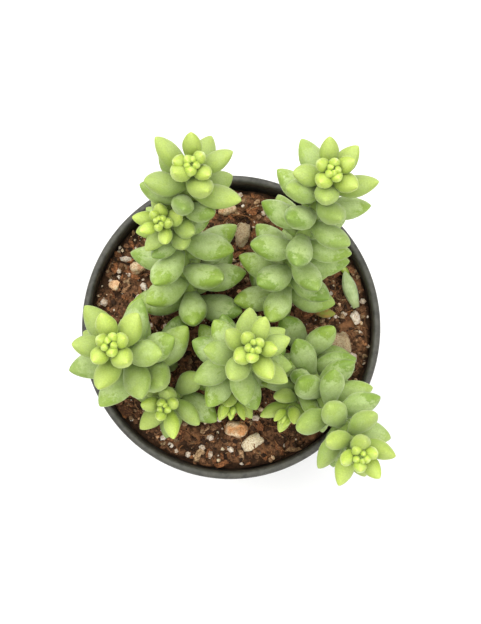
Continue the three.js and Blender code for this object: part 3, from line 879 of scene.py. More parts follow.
def grain_sizes(seed, count, least, more, longer):
    """Half sizes of round grains, most of them small: each up to a share longer than it is wide,
    and three quarters as high."""
    size = chance_range(seed, count, least, more, 2)
    form = [chance_range(seed + 1, count, 1, longer), np.ones(count), np.full(count, 0.75)]
    return size[:, None] * np.stack(form, -1)


fine_perlite_sizes = grain_sizes(541, 330, 0.26, 0.52, 0.4)
strew(
    "fine_perlite", BALL, BALL_FACES, fine_perlite_sizes, 540, 0.3, perlite_material,
    slot="perlite",
)
fine_pumice_sizes = grain_sizes(551, 130, 0.35, 0.7, 0.5)
strew("fine_pumice", BALL, BALL_FACES, fine_pumice_sizes, 550, 0.3, pumice_material, slot="pumice")

# %% Grains that the photo shows one by one
SEEN_GRAINS = [
    # x, y, half length, half width
    (2.7, 46.3, 1.1, 1.5), (-36.8, 24.2, 1.2, 2.4), (-39.5, 20.2, 1.5, 1.1),
    (-44.4, 9, 1.7, 1.4), (-27.7, 0.8, 1.3, 1.0), (-22.9, 0.5, 1.4, 1.1),
    (46.1, 9.4, 1.2, 1.2), (39.4, 5, 1.1, 1.4), (36.3, 4.1, 0.9, 0.9),
    (-4.2, -31.7, 1.4, 1.1), (-7.2, -38, 1.2, 1.5), (-10, -41.5, 1.3, 1.1),
    (-7.2, -43.9, 1.0, 1.2), (-0.3, -42, 1.6, 1.1), (-14.9, -43.9, 1.1, 1.0),
    (-23.5, -38, 1.3, 1.1), (-21, -40.6, 0.9, 1.1), (39.8, -23.2, 1.5, 1.3),
    (-30.4, 14.3, 1.9, 1.2), (-32.4, 10.4, 1.2, 1.6), (8.5, -31.1, 1.6, 1.3),
    (37.4, -12.3, 1.3, 1.8), (35.1, 12.3, 1.0, 0.8), (11.4, 40.3, 1.2, 0.9),
]
seen = np.array(SEEN_GRAINS)
seen_sizes = np.stack([seen[:, 2], seen[:, 3], 0.85 * seen[:, 2:4].mean(1)], -1)
strew(
    "perlite_grains", BALL, BALL_FACES, seen_sizes, 560, 0.45, perlite_material, lying=0.8,
    slot="perlite", places=(seen[:, 0], seen[:, 1]), jag=0.16,
)

# %% [markdown]
# The larger stones are pieces of their own. A stretched ball would look like a pebble from a river,
# and pumice is broken rock, so the ball is made boxy first and then pushed in and out by lumps.

# %% The larger stones
STONES = {
    # middle, half sizes, turn in degrees
    "pumice_front": ((1.7, -34.9), (4.2, 3, 2.6), -12),
    "pumice_front_right": ((7.5, -39.6), (4, 2.5, 2.2), 32),
    "pumice_back": ((4, 32.6), (2.9, 4.3, 2.6), -14),
    "pumice_right": ((38, -5.4), (3.9, 5, 2.8), 12),
    "pumice_left": ((-33, 21), (3, 2.3, 2), 10),
    "pumice_back_left": ((-1.3, 41.8), (3.4, 2, 1.9), 14),
    "pumice_small_left": ((-40.7, 15.1), (2, 1.9, 1.6), 40),
    "perlite_right": ((43.3, 3.7), (1.7, 2.4, 1.6), 20),
    "perlite_front_right": ((42.3, -10.7), (1.7, 2.1, 1.5), -20),
}
STONE_TINTS = {
    "pumice_front": 0.2, "pumice_back": 1.0, "pumice_right": 0.95, "pumice_front_right": 0.85
}
# How far each stone is darkened and browned: partly its own duller colour, partly painted shade from
# the leaves over it.
STONE_STAIN_AND_SHADE = {
    "pumice_back": 0.9, "pumice_right": 0.85, "pumice_left": 0.3, "pumice_back_left": 0.5
}
STONE_ROWS = 26
STONE_COLUMNS = 40
BOXINESS = 2.6
STONE_RAISED = 0.25


def stone(name, at, half, turn, seed, material):
    """A ball of rings, made boxy by the radius (|x|^p + |y|^p + |z|^p)^(-1/p), where p = 2 would
    leave a ball. It is pushed in and out by lumps of 0.9, 0.4 and 0.17 of its half size, then
    stretched, turned and set on the mix, its middle raised by a quarter of its half height."""
    polar = np.linspace(0, np.pi, STONE_ROWS + 2)[1:-1, None]
    a = angles_round(STONE_COLUMNS)
    ball = [np.sin(polar) * np.cos(a), np.sin(polar) * np.sin(a), np.cos(polar) + 0 * a]
    ball = np.vstack([np.stack(ball, -1).reshape(-1, 3), [[0, 0, 1], [0, 0, -1]]])
    boxy = 0.92 / (np.abs(ball) ** BOXINESS).sum(1) ** (1 / BOXINESS)
    rough = 1 + 0.3 * lumps(ball + seed, 0.9, seed) + 0.14 * lumps(ball, 0.4, seed + 1)
    rough += 0.06 * lumps(ball, 0.17, seed + 2)
    points = ball * (boxy * rough)[:, None] * np.array(half)
    c, s = math.cos(math.radians(turn)), math.sin(math.radians(turn))
    points = points @ np.array([[c, s, 0], [-s, c, 0], [0, 0, 1]])
    points += [at[0], at[1], float(soil_height(*at)) + STONE_RAISED * half[2]]
    faces = [face[::-1] for face in ring_faces(STONE_ROWS, STONE_COLUMNS, closed_ends=True)]
    tint = np.full(len(points), STONE_TINTS.get(name, 0.5))
    soiled = np.full(len(points), STONE_STAIN_AND_SHADE.get(name, 0.0))
    return put_piece(
        name + "_stone", points, faces, material, [name], name.split("_")[0],
        tint=tint, soiled=soiled,
    )


for index, (name, (at, half, turn)) in enumerate(STONES.items()):
    material = perlite_material if name.startswith("perlite") else pumice_material
    stone(name, at, half, turn, 600 + 10 * index, material)

# %% [markdown]
# ## The stems
#
# A burro's tail stem is a thin rod that the leaves hide. It lies along a smooth curve through a few
# given points, from its root in the mix to its tip. The curve is a chain of cubics that passes
# through every point, so the points can be set against the photo. A curve that is only drawn
# towards its points would miss them. Three stems bear a short side shoot.

# %% The stems' axes
# For each stem: its axis from root to tip, the length of its ripe leaves and how much shorter they
# are higher up, how early they ripen, the first leaf's direction and the turn to the next one in
# degrees, which way they wind, and the seed of its draws.
STEMS = [
    dict(
        name="stem_centre",
        axis=[
            [-2, -15, 81.5], [0.1, -14.4, 96.5], [3.4, -12.4, 119.8],
            [7.3, -10, 134], [7.7, -9.6, 142],
        ],
        leaf=16.3, slim=0.92, early=1, start=238, step=138.5, winds=-1, seed=41,
        shoot=dict(
            axis=[[1, -16.5, 92], [0.8, -22.5, 97.5], [0.2, -28.2, 99.8]],
            leaf=12.5, slim=1, early=1.5, start=194, step=136.6, winds=-1, seed=322,
        ),
    ),
    dict(
        name="stem_back_left",
        axis=[
            [-13, 6, 81.5], [-14.3, 14.8, 100], [-17.6, 31.6, 115.4],
            [-13.5, 41.5, 135], [-11.9, 46.9, 143.5], [-11.7, 46.7, 151],
        ],
        leaf=18.5, slim=0.88, early=1, start=72, step=138, winds=1, seed=221,
        shoot=dict(
            axis=[[-16.5, 26, 111], [-18.4, 31.5, 120.3], [-22.1, 30.9, 128], [-22.6, 30.9, 133]],
            leaf=12.4, slim=1, early=1, start=84, step=136.4, winds=-1, seed=172,
        ),
    ),
    dict(
        name="stem_back_right",
        axis=[
            [18.5, 6, 81.5], [18.9, 13.5, 97.7], [22.8, 26, 117.8],
            [30, 40.7, 134.2], [31.3, 44.9, 144], [31.7, 44.7, 151],
        ],
        leaf=16.7, slim=0.9, early=1, start=274, step=139.1, winds=-1, seed=581,
    ),
    dict(
        name="stem_left",
        axis=[
            [-21, -13, 81.5], [-26.3, -14.9, 96.8], [-33.3, -11.3, 111.9],
            [-37.7, -8.4, 127], [-38, -8.1, 135],
        ],
        leaf=18.7, slim=0.96, early=1, start=123, step=138.4, winds=-1, seed=31,
    ),
    dict(
        name="stem_front_right",
        axis=[
            [24.5, -3, 81.5], [26, -13.5, 95], [31.1, -25.4, 108.6],
            [38, -36, 119.5], [40.9, -42.7, 127], [41.3, -43.9, 133],
        ],
        leaf=16.2, slim=0.97, early=1, start=292, step=137.7, winds=1, seed=401,
        shoot=dict(
            axis=[[26.5, -13.5, 98], [22.3, -23.8, 101.5], [18.3, -30.8, 104.5]],
            leaf=13, slim=1, early=1.6, start=74, step=139.9, winds=1, seed=162,
        ),
    ),
    dict(
        name="stem_front_left",
        axis=[[-16.5, -23, 81.5], [-18.3, -22.9, 91], [-21.5, -27.3, 98], [-22.3, -28, 104]],
        leaf=15, slim=1, early=1.25, start=61, step=137.6, winds=1, seed=171,
    ),
]
print("rooted stems:", len(STEMS))

# %% [markdown]
# Leaves are set by their distance from the tip, so the curve has to be walked by its length.
# Blender has curve objects of its own, but the part's source knows no Blender, and both have to
# find the same places. So the curve is cut into short straight pieces here, as it is there.

# %% The curve of a stem


def unit(vectors):
    """Vectors of length 1 that point the same way."""
    return vectors / np.linalg.norm(vectors, axis=-1, keepdims=True)


class StemAxis:
    """A smooth curve through given points, cut into 120 pieces and walked by its length. Between two
    points p1 and p2 it is the cubic that leaves p1 along (p2 - p0) / 2 and reaches p2 along
    (p3 - p1) / 2."""

    SAMPLES = 120

    def __init__(self, given):
        given = np.array(given, float)
        ends = np.vstack([2 * given[0] - given[1], given, 2 * given[-1] - given[-2]])
        t = np.linspace(0, len(given) - 1, self.SAMPLES + 1)
        i = np.minimum(t.astype(int), len(given) - 2)
        w = (t - i)[:, None]
        p0, p1, p2, p3 = ends[i], ends[i + 1], ends[i + 2], ends[i + 3]
        out, into = 0.5 * (p2 - p0), 0.5 * (p3 - p1)
        square = -3 * p1 + 3 * p2 - 2 * out - into
        cube = 2 * p1 - 2 * p2 + out + into
        self.places = p1 + out * w + square * w**2 + cube * w**3
        self.walked = np.append(0, np.cumsum(np.linalg.norm(np.diff(self.places, axis=0), axis=1)))
        after = np.vstack([self.places[1:], self.places[-1:]])
        before = np.vstack([self.places[:1], self.places[:-1]])
        self.ways = unit(after - before)
        self.length = self.walked[-1]

    def at(self, length):
        """The place and direction at a length from the root."""
        i = int(np.clip(np.searchsorted(self.walked, length) - 1, 0, self.SAMPLES - 1))
        w = np.clip((length - self.walked[i]) / (self.walked[i + 1] - self.walked[i]), 0, 1)
        place = self.places[i] * (1 - w) + self.places[i + 1] * w
        return place, unit(self.ways[i] * (1 - w) + self.ways[i + 1] * w)


print("30 mm along the centre stem:", StemAxis(STEMS[0]["axis"]).at(30)[0].round(1))

# %% Plant the stems
STEM_RADIUS = 2.3
SHOOT_RADIUS = 1.4
# A stem bears no leaf below this length, and it goes on into the mix.
BARE_FOOT = 5.0
SHOOT_BARE_FOOT = 3.5
BURIED = 9.0


def plant_stems():
    """The rooted stems, each followed by the side shoot that it bears."""
    stems = []
    for given in STEMS:
        stem = dict(given, radius=STEM_RADIUS, bare=BARE_FOOT, sunk=BURIED)
        stem.update(node=given["name"], path=StemAxis(given["axis"]), shoot=None)
        stems.append(stem)
        if "shoot" in given:
            shoot = dict(given["shoot"], radius=SHOOT_RADIUS, bare=SHOOT_BARE_FOOT, sunk=0.0)
            shoot.update(node=given["name"], path=StemAxis(shoot["axis"]), shoot=None)
            stem["shoot"] = shoot
            stems.append(shoot)
    return stems


stems = plant_stems()
print("stem lengths in mm:", [round(stem["path"].length) for stem in stems])

# %% [markdown]
# ## The rule of the leaves
#
# New leaves form at the tip, one after another, each about 138 degrees round from the last: that
# angle makes the spirals of a pine cone. A leaf starts as an upright bud, then grows, fattens and
# leans out as the stem lengthens under it. So a leaf's age, its number from the tip, sets its size
# and tilt. Placing some 240 leaves by hand would take days and never look grown. One rule makes
# them all, and small strays from it keep them from looking machined.

# %% How a leaf ripens
# How many leaves from the tip each change takes, and how sharply it sets in.
TILT_RIPENS = (9.5, 1.7)
LENGTH_RIPENS = (9, 1.8)
WIDTH_RIPENS = (9, 1.7)


def youth(stem, n, leaves, haste):
    """How young the stem's n-th leaf from the tip still is: 1 at the tip, falling as
    exp(-(early n / leaves)^haste)."""
    return math.exp(-((n * stem["early"] / leaves) ** haste))


def ripened(young, ripe, share):
    """A value between a ripe leaf's and a young one's, by a share of youth."""
    return ripe + (young - ripe) * share


some_youths = [round(youth(stems[0], n, *TILT_RIPENS), 2) for n in (0, 5, 10, 20)]
print("youth of leaves 0, 5, 10, 20:", some_youths)

# %% [markdown]
# A leaf is a foot on the rod, three directions and four sizes. It could be one shape that is copied
# and scaled, but young leaves are rounder and more bent than ripe ones. So every size follows the
# leaf's age on its own.

# %% Where a leaf stands and how large it is
LEAF_WIDTH = 0.56
# A bud's value and a ripe leaf's: the tilt in degrees, the thickness as a share of the width, and
# the bend as a share of the length.
LEAF_TILT = (18, 86)
LEAF_THICKNESS = (0.95, 0.8)
LEAF_BEND = (0.32, 0.12)
# A bud's length and width as shares of a ripe leaf's.
BUD_LENGTH = 0.25
BUD_WIDTH = 0.3
# The most by which a leaf strays from the rule, in degrees or as a share.
DEGREES_STRAY = 7
LENGTH_STRAY = 0.08
WIDTH_STRAY = 0.06
# A leaf's foot is this share of the rod's radius from its axis.
FOOT_OUT = 0.6
TIP_RADIUS = 1.3
# How far below the tip the rod and the ripe leaves have their full size, in millimetres.
ROD_FULL_FROM = 22
LEAVES_FULL_FROM = 40


def core_radius(stem, down):
    """The stem's own radius: thin at the tip, full from 22 mm down."""
    return TIP_RADIUS + (stem["radius"] - TIP_RADIUS) * np.minimum(1, down / ROD_FULL_FROM)


def ripe_length(stem, down):
    """A ripe leaf's length, a little longer towards the root."""
    return stem["leaf"] * (stem["slim"] + (1 - stem["slim"]) * min(1, down / LEAVES_FULL_FROM))


def leaf_outline(t):
    """A leaf's half width along its length, as a share of its widest: a neck, a full belly at 0.6
    that rises as a sine, and a short blunt point that closes as (1 - t^4)^0.72."""
    t = np.asarray(t, float)
    belly = 0.42 + 0.58 * np.sin(np.minimum(t / 0.6, 1) * np.pi / 2) ** 1.1
    return belly * np.maximum(1 - t**4, 0) ** 0.72 / 0.92


def leaf_at(stem, n, down, tilt_change, size):
    """The n-th leaf from the tip: its foot on the stem, its three directions and its sizes."""
    strays = [float(spread(stem["seed"], 5 * n + i)) for i in range(4)]
    turn_stray, tilt_stray, length_stray, width_stray = strays
    place, way = stem["path"].at(stem["path"].length - down)
    young = youth(stem, n, *TILT_RIPENS)
    turn = stem["start"] + stem["winds"] * n * stem["step"] + DEGREES_STRAY * turn_stray
    turn = math.radians(turn)
    tilt = math.radians(ripened(*LEAF_TILT, young) + DEGREES_STRAY * tilt_stray + tilt_change)
    east = unit(np.array([1.0, 0, 0]) - way * way[0])
    out = east * math.cos(turn) + np.cross(way, east) * math.sin(turn)
    along = way * math.cos(tilt) + out * math.sin(tilt)
    upper = way * math.sin(tilt) - out * math.cos(tilt)
    full = ripe_length(stem, down) * size
    length = full * ripened(BUD_LENGTH, 1, youth(stem, n, *LENGTH_RIPENS))
    width = LEAF_WIDTH * full * ripened(BUD_WIDTH, 1, youth(stem, n, *WIDTH_RIPENS))
    width = width * (1 + WIDTH_STRAY * width_stray)
    return dict(
        n=n, stem=stem, base=place + out * FOOT_OUT * core_radius(stem, down),
        along=along, upper=upper, across=np.cross(upper, along),
        length=length * (1 + LENGTH_STRAY * length_stray), width=width,
        thick=width * ripened(*LEAF_THICKNESS, young), bend=ripened(*LEAF_BEND, young),
    )


one_leaf = leaf_at(stems[0], 12, 12, 0, 1)
print("length and width of one leaf:", round(one_leaf["length"], 1), round(one_leaf["width"], 1))

# %% [markdown]
# Leaves of two stems can't share a space. The rule feels around each leaf with points on its skin,
# and a leaf that would touch another stem, the mix or the pot tries to tilt or stay smaller, as a
# crowded leaf does on a real plant. Where nothing helps, it is left out.

# %% Room for each leaf
CLEAR_OF_POT = 0.8
CLEAR_OF_LEAVES = 0.55
CLEAR_OF_RODS = 0.7
MAY_OVERLAP = 0.1
# Leaves that are this much further apart than they could reach aren't compared.
FAR_OFF = 2
# A leaf is felt at six shares of its length, once on its midrib and six times round its skin.
FEEL_T = np.repeat([0.3, 0.45, 0.6, 0.75, 0.88, 1.0], 7)
FEEL_A = np.tile(np.append(0, angles_round(6)), 6)
FEEL_R = np.tile([0] + [1] * 6, 6) * leaf_outline(FEEL_T) / 2


def on_leaf(leaf, t, u, v):
    """Points of a leaf from shares of its length and distances to the side and up. The midrib bends
    up by the square of the share."""
    t, u, v = np.broadcast_arrays(np.asarray(t, float), u, v)
    rise = v + leaf["bend"] * leaf["length"] * t * t
    along = (leaf["length"] * t)[..., None] * leaf["along"]
    return leaf["base"] + along + u[..., None] * leaf["across"] + rise[..., None] * leaf["upper"]


def feelers(leaf):
    """Points on the leaf's skin and midrib."""
    sideways = FEEL_R * leaf["width"] * np.cos(FEEL_A)
    upward = FEEL_R * leaf["thick"] * np.sin(FEEL_A)
    return on_leaf(leaf, FEEL_T, sideways, upward)


def inside_leaf(leaf, points, margin):
    """Which points are inside the leaf when it is grown by a margin: u^2 + v^2 under 1, where u and
    v are the sideways and upward distances as shares of the half width and half thickness there."""
    away = points - leaf["base"]
    t = away @ leaf["along"] / leaf["length"]
    share = leaf_outline(np.clip(t, 0, 1)) / 2
    u = away @ leaf["across"] / (share * leaf["width"] + margin)
    rise = away @ leaf["upper"] - leaf["bend"] * leaf["length"] * t * t
    v = rise / (share * leaf["thick"] + margin)
    return (t > -0.05) & (t < 1 + margin / leaf["length"]) & (u * u + v * v < 1)


def near_pot(points):
    """Which points are in, or within 0.8 mm of, the mix or the pot."""
    r = np.hypot(points[:, 0], points[:, 1])
    z = points[:, 2]
    mix_top = soil_height(points[:, 0], points[:, 1])
    under_mix = (r < RIM_RADIUS + 1) & (z < mix_top + CLEAR_OF_POT)
    in_wall = (r > wall_inside(z) - CLEAR_OF_POT) & (r < RIM_RADIUS + CLEAR_OF_POT)
    return under_mix | (in_wall & (z < POT_HEIGHT + CLEAR_OF_POT))


def lacks_room(leaf, stems, grown):
    """Whether a leaf would touch the mix, the pot, another stem, or a leaf of another stem. A side
    shoot and the stem that bears it may overlap by a tenth of a millimetre, as they are one
    piece."""
    own = leaf["stem"]
    points = feelers(leaf)
    if near_pot(points).any():
        return True
    middle = leaf["base"] + leaf["along"] * leaf["length"] / 2
    for other in grown:
        if other["stem"] is own:
            continue
        if np.linalg.norm(other["base"] - middle) > leaf["length"] / 2 + other["length"] + FAR_OFF:
            continue
        margin = -MAY_OVERLAP if other["stem"]["node"] == own["node"] else CLEAR_OF_LEAVES
        if inside_leaf(other, points, margin).any():
            return True
        if inside_leaf(leaf, feelers(other), margin).any():
            return True
    for other in stems:
        joined = other["node"] == own["node"]
        if other is own or (joined and other["shoot"] is not own):
            continue
        clear = other["radius"] + (0 if joined else CLEAR_OF_RODS)
        if np.linalg.norm(points[:, None] - other["path"].places[None], axis=2).min() < clear:
            return True
    return False


print("points that feel round a leaf:", len(FEEL_T))

# %% [markdown]
# The leaves are grown from the buds down on all stems at once. If one stem grew all its leaves
# first, it would take the room of its neighbours, and they would look plucked on that side.

# %% Grow every leaf
LEAF_STEP = 0.125
STEP_RIPENS = (10, 1.6)
BUD_STEP = 0.22
# A change of tilt in degrees and a share of the size, in the order in which they are tried.
TRIALS = [(0, 1), (-14, 1), (14, 1), (-8, 0.84), (-28, 0.84), (10, 0.7)]
FIRST_DOWN = 0.3


def grow_leaves(stems):
    """Every leaf, the youngest of all stems first. The step to the next leaf grows with age."""
    buds = []
    for stem in stems:
        down, n = FIRST_DOWN, 0
        while down < stem["path"].length - stem["bare"]:
            buds.append((n, stem, down))
            share = ripened(BUD_STEP, 1, youth(stem, n, *STEP_RIPENS))
            down += LEAF_STEP * ripe_length(stem, down) * share
            n += 1
    buds.sort(key=lambda bud: bud[0])
    grown = []
    for n, stem, down in buds:
        tried = (leaf_at(stem, n, down, *trial) for trial in TRIALS)
        leaf = next((leaf for leaf in tried if not lacks_room(leaf, stems, grown)), None)
        if leaf:
            grown.append(leaf)
    return grown


grown = grow_leaves(stems)
print("leaves grown:", len(grown))

# %% [markdown]
# ## A leaf's skin
#
# A ripe leaf is like a plump grain of rice pressed a little flat: blunt keel below, gently flat
# above, with a short soft point. It is rings round a bent midrib. The rings crowd towards the
# point, where the form turns fastest. Its painted values tell the material the leaf's age, the way
# along and across it, and a chance number that no neighbour shares.

# %% One leaf as rings
LEAF_ROWS = 11
BUD_ROWS = 8
LEAF_COLUMNS = 14
SWELLING = 0.035
KEEL = 0.12
UPPER_SIDE = 0.86
LOWER_SIDE = 1.04
POINT_FROM = 0.65
POINT_DRAWN_IN = 0.13
BUD_DRAWN_IN = 0.16
SIDEWAYS_LEAN = 0.07


def leaf_seed(leaf):
    """The seed of a leaf's own draws, from its stem's seed and its number."""
    return leaf["stem"]["seed"] * 100 + leaf["n"]


def leaf_skin(leaf, rows=LEAF_ROWS):
    """Rings of points from the foot to the point, and then the foot and the point themselves, with
    each point's way along the leaf and way across it. A ring is an ellipse, flattened above the
    midrib and keeled below it. Its radius is the leaf's outline, which swells by low lumps and is
    drawn in by up to an eighth over the last third, to a sharper point. The youngest are drawn in
    all along by up to 0.16, so that buds stand apart. The leaf leans to one side by the square of
    the way along it."""
    t = np.sin(np.linspace(0, 1, rows + 1) * np.pi / 2)[:-1, None]
    a = angles_round(LEAF_COLUMNS)
    seed = leaf_seed(leaf)
    ball = np.stack([2.2 * t + 0 * a, np.cos(a) + 0 * t, np.sin(a) + 0 * t], -1)
    swollen = 1 + SWELLING * lumps(ball + 7 * float(draw(seed, 1)), 1.1, seed)
    pointed = 1 - POINT_DRAWN_IN * np.clip((t - POINT_FROM) / (1 - POINT_FROM), 0, 1)
    half = leaf_outline(t) / 2 * swollen * pointed * (1 - BUD_DRAWN_IN * math.exp(-leaf["n"] / 5))
    across = np.cos(a)
    up = np.sin(a)
    keel = 1 + KEEL * np.maximum(-up, 0) ** 6
    u = half * leaf["width"] * across
    v = half * leaf["thick"] * up * np.where(up > 0, UPPER_SIDE, LOWER_SIDE * keel)
    lean = SIDEWAYS_LEAN * float(spread(seed, 2)) * leaf["length"]
    rings = on_leaf(leaf, t, u + lean * t**2, v)
    ends = [on_leaf(leaf, 0.0, 0.0, 0.0), on_leaf(leaf, 1.0, lean, 0.0)]
    points = np.vstack([rings.reshape(-1, 3), ends])
    return points, np.append(t + 0 * a, [0, 1]), np.append(across + 0 * t, [0, 0])


print("points on a leaf:", len(leaf_skin(grown[-1])[0]))

# %% [markdown]
# ## A leaf's colour
#
# Under its bloom a leaf is clear green: yellow-green while it is young, deeper when it is ripe. The
# bloom is a thin coat of wax that thickens with age and rubs off where leaves touch. A picture
# wrapped round one leaf would put the same marks on every leaf. Noise steered by the painted values
# gives each leaf marks of its own and still keeps them where they belong, such as at the point and
# on the sides.

# %% Streaks and flesh


def leaf_streaks(finish, around, lengthwise=2.5, seed_shift=0.0):
    """Noise from 0 to 1 that runs along each leaf: its place is the way along, the way across and
    the leaf's own number, so that it follows the leaf and no two leaves share it."""
    place = add_node(finish, "ShaderNodeCombineXYZ")
    along = times(finish, painted_value(finish, "along"), lengthwise)
    wire(finish, along, place.inputs["X"])
    across = times(finish, painted_value(finish, "side"), around)
    wire(finish, across, place.inputs["Y"])
    own = times(finish, painted_value(finish, "tint"), 60.0)
    wire(finish, combine(finish, "ADD", own, seed_shift), place.inputs["Z"])
    noise = add_node(finish, "ShaderNodeTexNoise", Scale=1.0, Detail=4.0)
    wire(finish, place.outputs["Vector"], noise.inputs["Vector"])
    return noise.outputs["Fac"]


def leaf_flesh(finish, age, along, own):
    """The colour where no bloom lies: a young green, then a duller one, then each ripe leaf's own
    deep green, with faint darker veins."""
    young = blend_colours(finish, along, (0.33, 0.455, 0.042), (0.515, 0.64, 0.105))
    middling = blend_colours(finish, along, (0.265, 0.365, 0.042), (0.4, 0.49, 0.065))
    ripe = blend_colours(finish, own, (0.13, 0.235, 0.016), (0.225, 0.33, 0.025))
    flesh = blend_colours(finish, ramp(finish, age, 0.18, 0.66), young, middling)
    flesh = blend_colours(finish, ramp(finish, age, 0.6, 0.95), flesh, ripe)
    veins = ramp(finish, leaf_streaks(finish, 9.0), 0.35, 0.65, 0.0, 0.3)
    darker = blend_colours(finish, 1.0, flesh, (0.72, 0.8, 0.6), "MULTIPLY")
    return blend_colours(finish, veins, flesh, darker)


# %% Bloom, painted shade and a painted highlight


def rubbed_places(finish, age, along, side):
    """How far the bloom is rubbed away: in blotches that favour the point and the sides and grow
    clearer with age, in small specks, and in streaks along the leaf."""
    blotches = grain(finish, 1.9, detail=7, roughness=0.7)
    near_point = ramp(finish, along, 0.5, 0.95, -0.14, 0.22)
    near_side = ramp(finish, side, 0.6, 1.0, 0.0, 0.08)
    bareness = combine(finish, "ADD", combine(finish, "ADD", near_point, near_side), blotches)
    ripeness = ramp(finish, age, 0.65, 0.98, 0.1, 0.88)
    rubbed = times(finish, ramp(finish, bareness, 0.5, 0.68), ripeness)
    specks = ramp(finish, grain(finish, 0.7, detail=3), 0.63, 0.7, 0.0, 0.52)
    rubbed = combine(finish, "MAXIMUM", rubbed, specks)
    streaks = ramp(finish, leaf_streaks(finish, 5.0, 4.0, 7.3), 0.62, 0.7, 0.0, 0.5)
    return combine(finish, "MAXIMUM", rubbed, streaks)


def bloom_colour(finish, age):
    """The wax's own colour: yellow-green on the young, duller on the middling, palest on the
    ripe."""
    later = ramp(finish, age, 0.3, 0.75)
    bloom = blend_colours(finish, later, (0.48, 0.585, 0.13), (0.335, 0.425, 0.16))
    return blend_colours(finish, ramp(finish, age, 0.76, 0.93), bloom, (0.44, 0.54, 0.245))


def painted_shade_places(finish, age, along, side):
    """How much painted shade, in a deep green, lies over the leaf: at its foot, over most of a bud
    between its neighbours, and along its edges.
    """
    bud = ramp(finish, age, 0.05, 0.5, 1.0, 0.0)
    between = times(finish, ramp(finish, along, 0.3, 0.85, 0.75, 0.0), bud)
    foot = combine(finish, "MAXIMUM", ramp(finish, along, 0.0, 0.4, 0.5, 0.0), between)
    fading = ramp(finish, along, 0.4, 1.0, 1.0, 0.4)
    edge = times(finish, ramp(finish, side, 0.64, 1.0, 0.0, 0.42), fading)
    return combine(finish, "MAXIMUM", foot, edge)


def painted_highlight_middle(finish, age, along, side):
    """How far a painted highlight, pale like frost on the wax, lies along the leaf's middle, most on
    the young ones.
    """
    middle = ramp(finish, side, 0.1, 0.75, 0.34, 0.0)
    painted_highlight = times(finish, middle, ramp(finish, along, 0.2, 0.6))
    return times(finish, painted_highlight, ramp(finish, age, 0.3, 0.7, 1.0, 0.25))


# %% [markdown]
# The finish lays these over each other in this order: flesh below, then bloom, and last the painted
# shade at the foot, along the edges and between buds, and a painted highlight along the frosted
# middle.
# Light goes a little way into the flesh, so the shader scatters it under the surface too, and a
# faint sheen stands for the wax.

# %% The finish of a living leaf


def leaf_finish():
    """Living leaf: flesh under a clouded bloom, each leaf a little lighter or darker than the next,
    with painted shade in deep green at its foot, along its edges and between buds, and a painted
    highlight along its frosted middle. It shines more where the bloom is off."""
    finish, shader = new_finish(
        "leaf", 0.52, Specular_IOR_Level=0.35, Subsurface_Weight=0.2, Sheen_Weight=0.2
    )
    shader.inputs["Subsurface Radius"].default_value = (0.8, 1.0, 0.25)
    shader.inputs["Subsurface Scale"].default_value = 1.8 * MILLIMETRE
    shader.inputs["Sheen Roughness"].default_value = 0.45
    shader.inputs["Sheen Tint"].default_value = (0.97, 1.0, 0.75, 1)
    age = painted_value(finish, "age")
    along = painted_value(finish, "along")
    own = painted_value(finish, "tint")
    side = combine(finish, "ABSOLUTE", painted_value(finish, "side"), 0.0)

    cloud = grain(finish, 3.4, detail=5)
    clouded = ramp(finish, cloud, 0.3, 0.6, 0.6, 1.0)
    wax = times(finish, ramp(finish, age, 0.25, 0.9, 0.1, 0.82), clouded)
    left_on = combine(finish, "SUBTRACT", 1.0, rubbed_places(finish, age, along, side))
    wax = times(finish, wax, left_on)
    flesh = leaf_flesh(finish, age, along, own)
    colour = blend_colours(finish, wax, flesh, bloom_colour(finish, age))

    dusty = ramp(finish, grain(finish, 0.5, detail=4, roughness=0.7), 0.3, 0.7, 0.86, 1.1)
    shade = times(finish, dusty, ramp(finish, own, 0.0, 1.0, 0.93, 1.07))
    colour = blend_colours(finish, 1.0, colour, shade, "MULTIPLY")
    # Painted shade: deep green at each leaf's foot, along its edges and between crowded buds.
    painted_leaf_shade = painted_shade_places(finish, age, along, side)
    colour = blend_colours(finish, painted_leaf_shade, colour, (0.16, 0.25, 0.022))
    # Painted highlight: a pale, frost-like colour along the middle of each leaf, most on the young.
    painted_highlight = painted_highlight_middle(finish, age, along, side)
    colour = blend_colours(finish, painted_highlight, colour, (0.62, 0.73, 0.26))
    wire(finish, colour, shader.inputs["Base Color"])

    dull = times(finish, cloud, 0.06)
    gloss = combine(finish, "ADD", ramp(finish, wax, 0.0, 0.5, 0.4, 0.62), dull)
    wire(finish, gloss, shader.inputs["Roughness"])
    dimples = times(finish, grain(finish, 0.9, detail=4), 0.35)
    pores = times(finish, grain(finish, 0.3, detail=3), 0.12)
    uneven = combine(finish, "ADD", combine(finish, "ADD", cloud, dimples), pores)
    add_relief(finish, shader, uneven, 0.3, 0.6)
    return finish


leaf_material = leaf_finish()
print("nodes in a living leaf's finish:", len(leaf_material.node_tree.nodes))

# %% [markdown]
# ## Dressing each stem
#
# Each stem is one piece with its side shoot and all its leaves, as it grew. The rod ends in a small
# dome between the youngest buds, so that no dark hole shows there. Its colour follows the same
# painted values.

# %% The rod under the leaves
CORE_COLUMNS = 16
CORE_STATIONS = 30
BURIED_STATIONS = 3
DOME_HEIGHT = 0.9 * TIP_RADIUS
# The rings start on this side of the rod. No stem points that way.
SIDEWAYS = np.array([0.31, 0.95, 0.05])


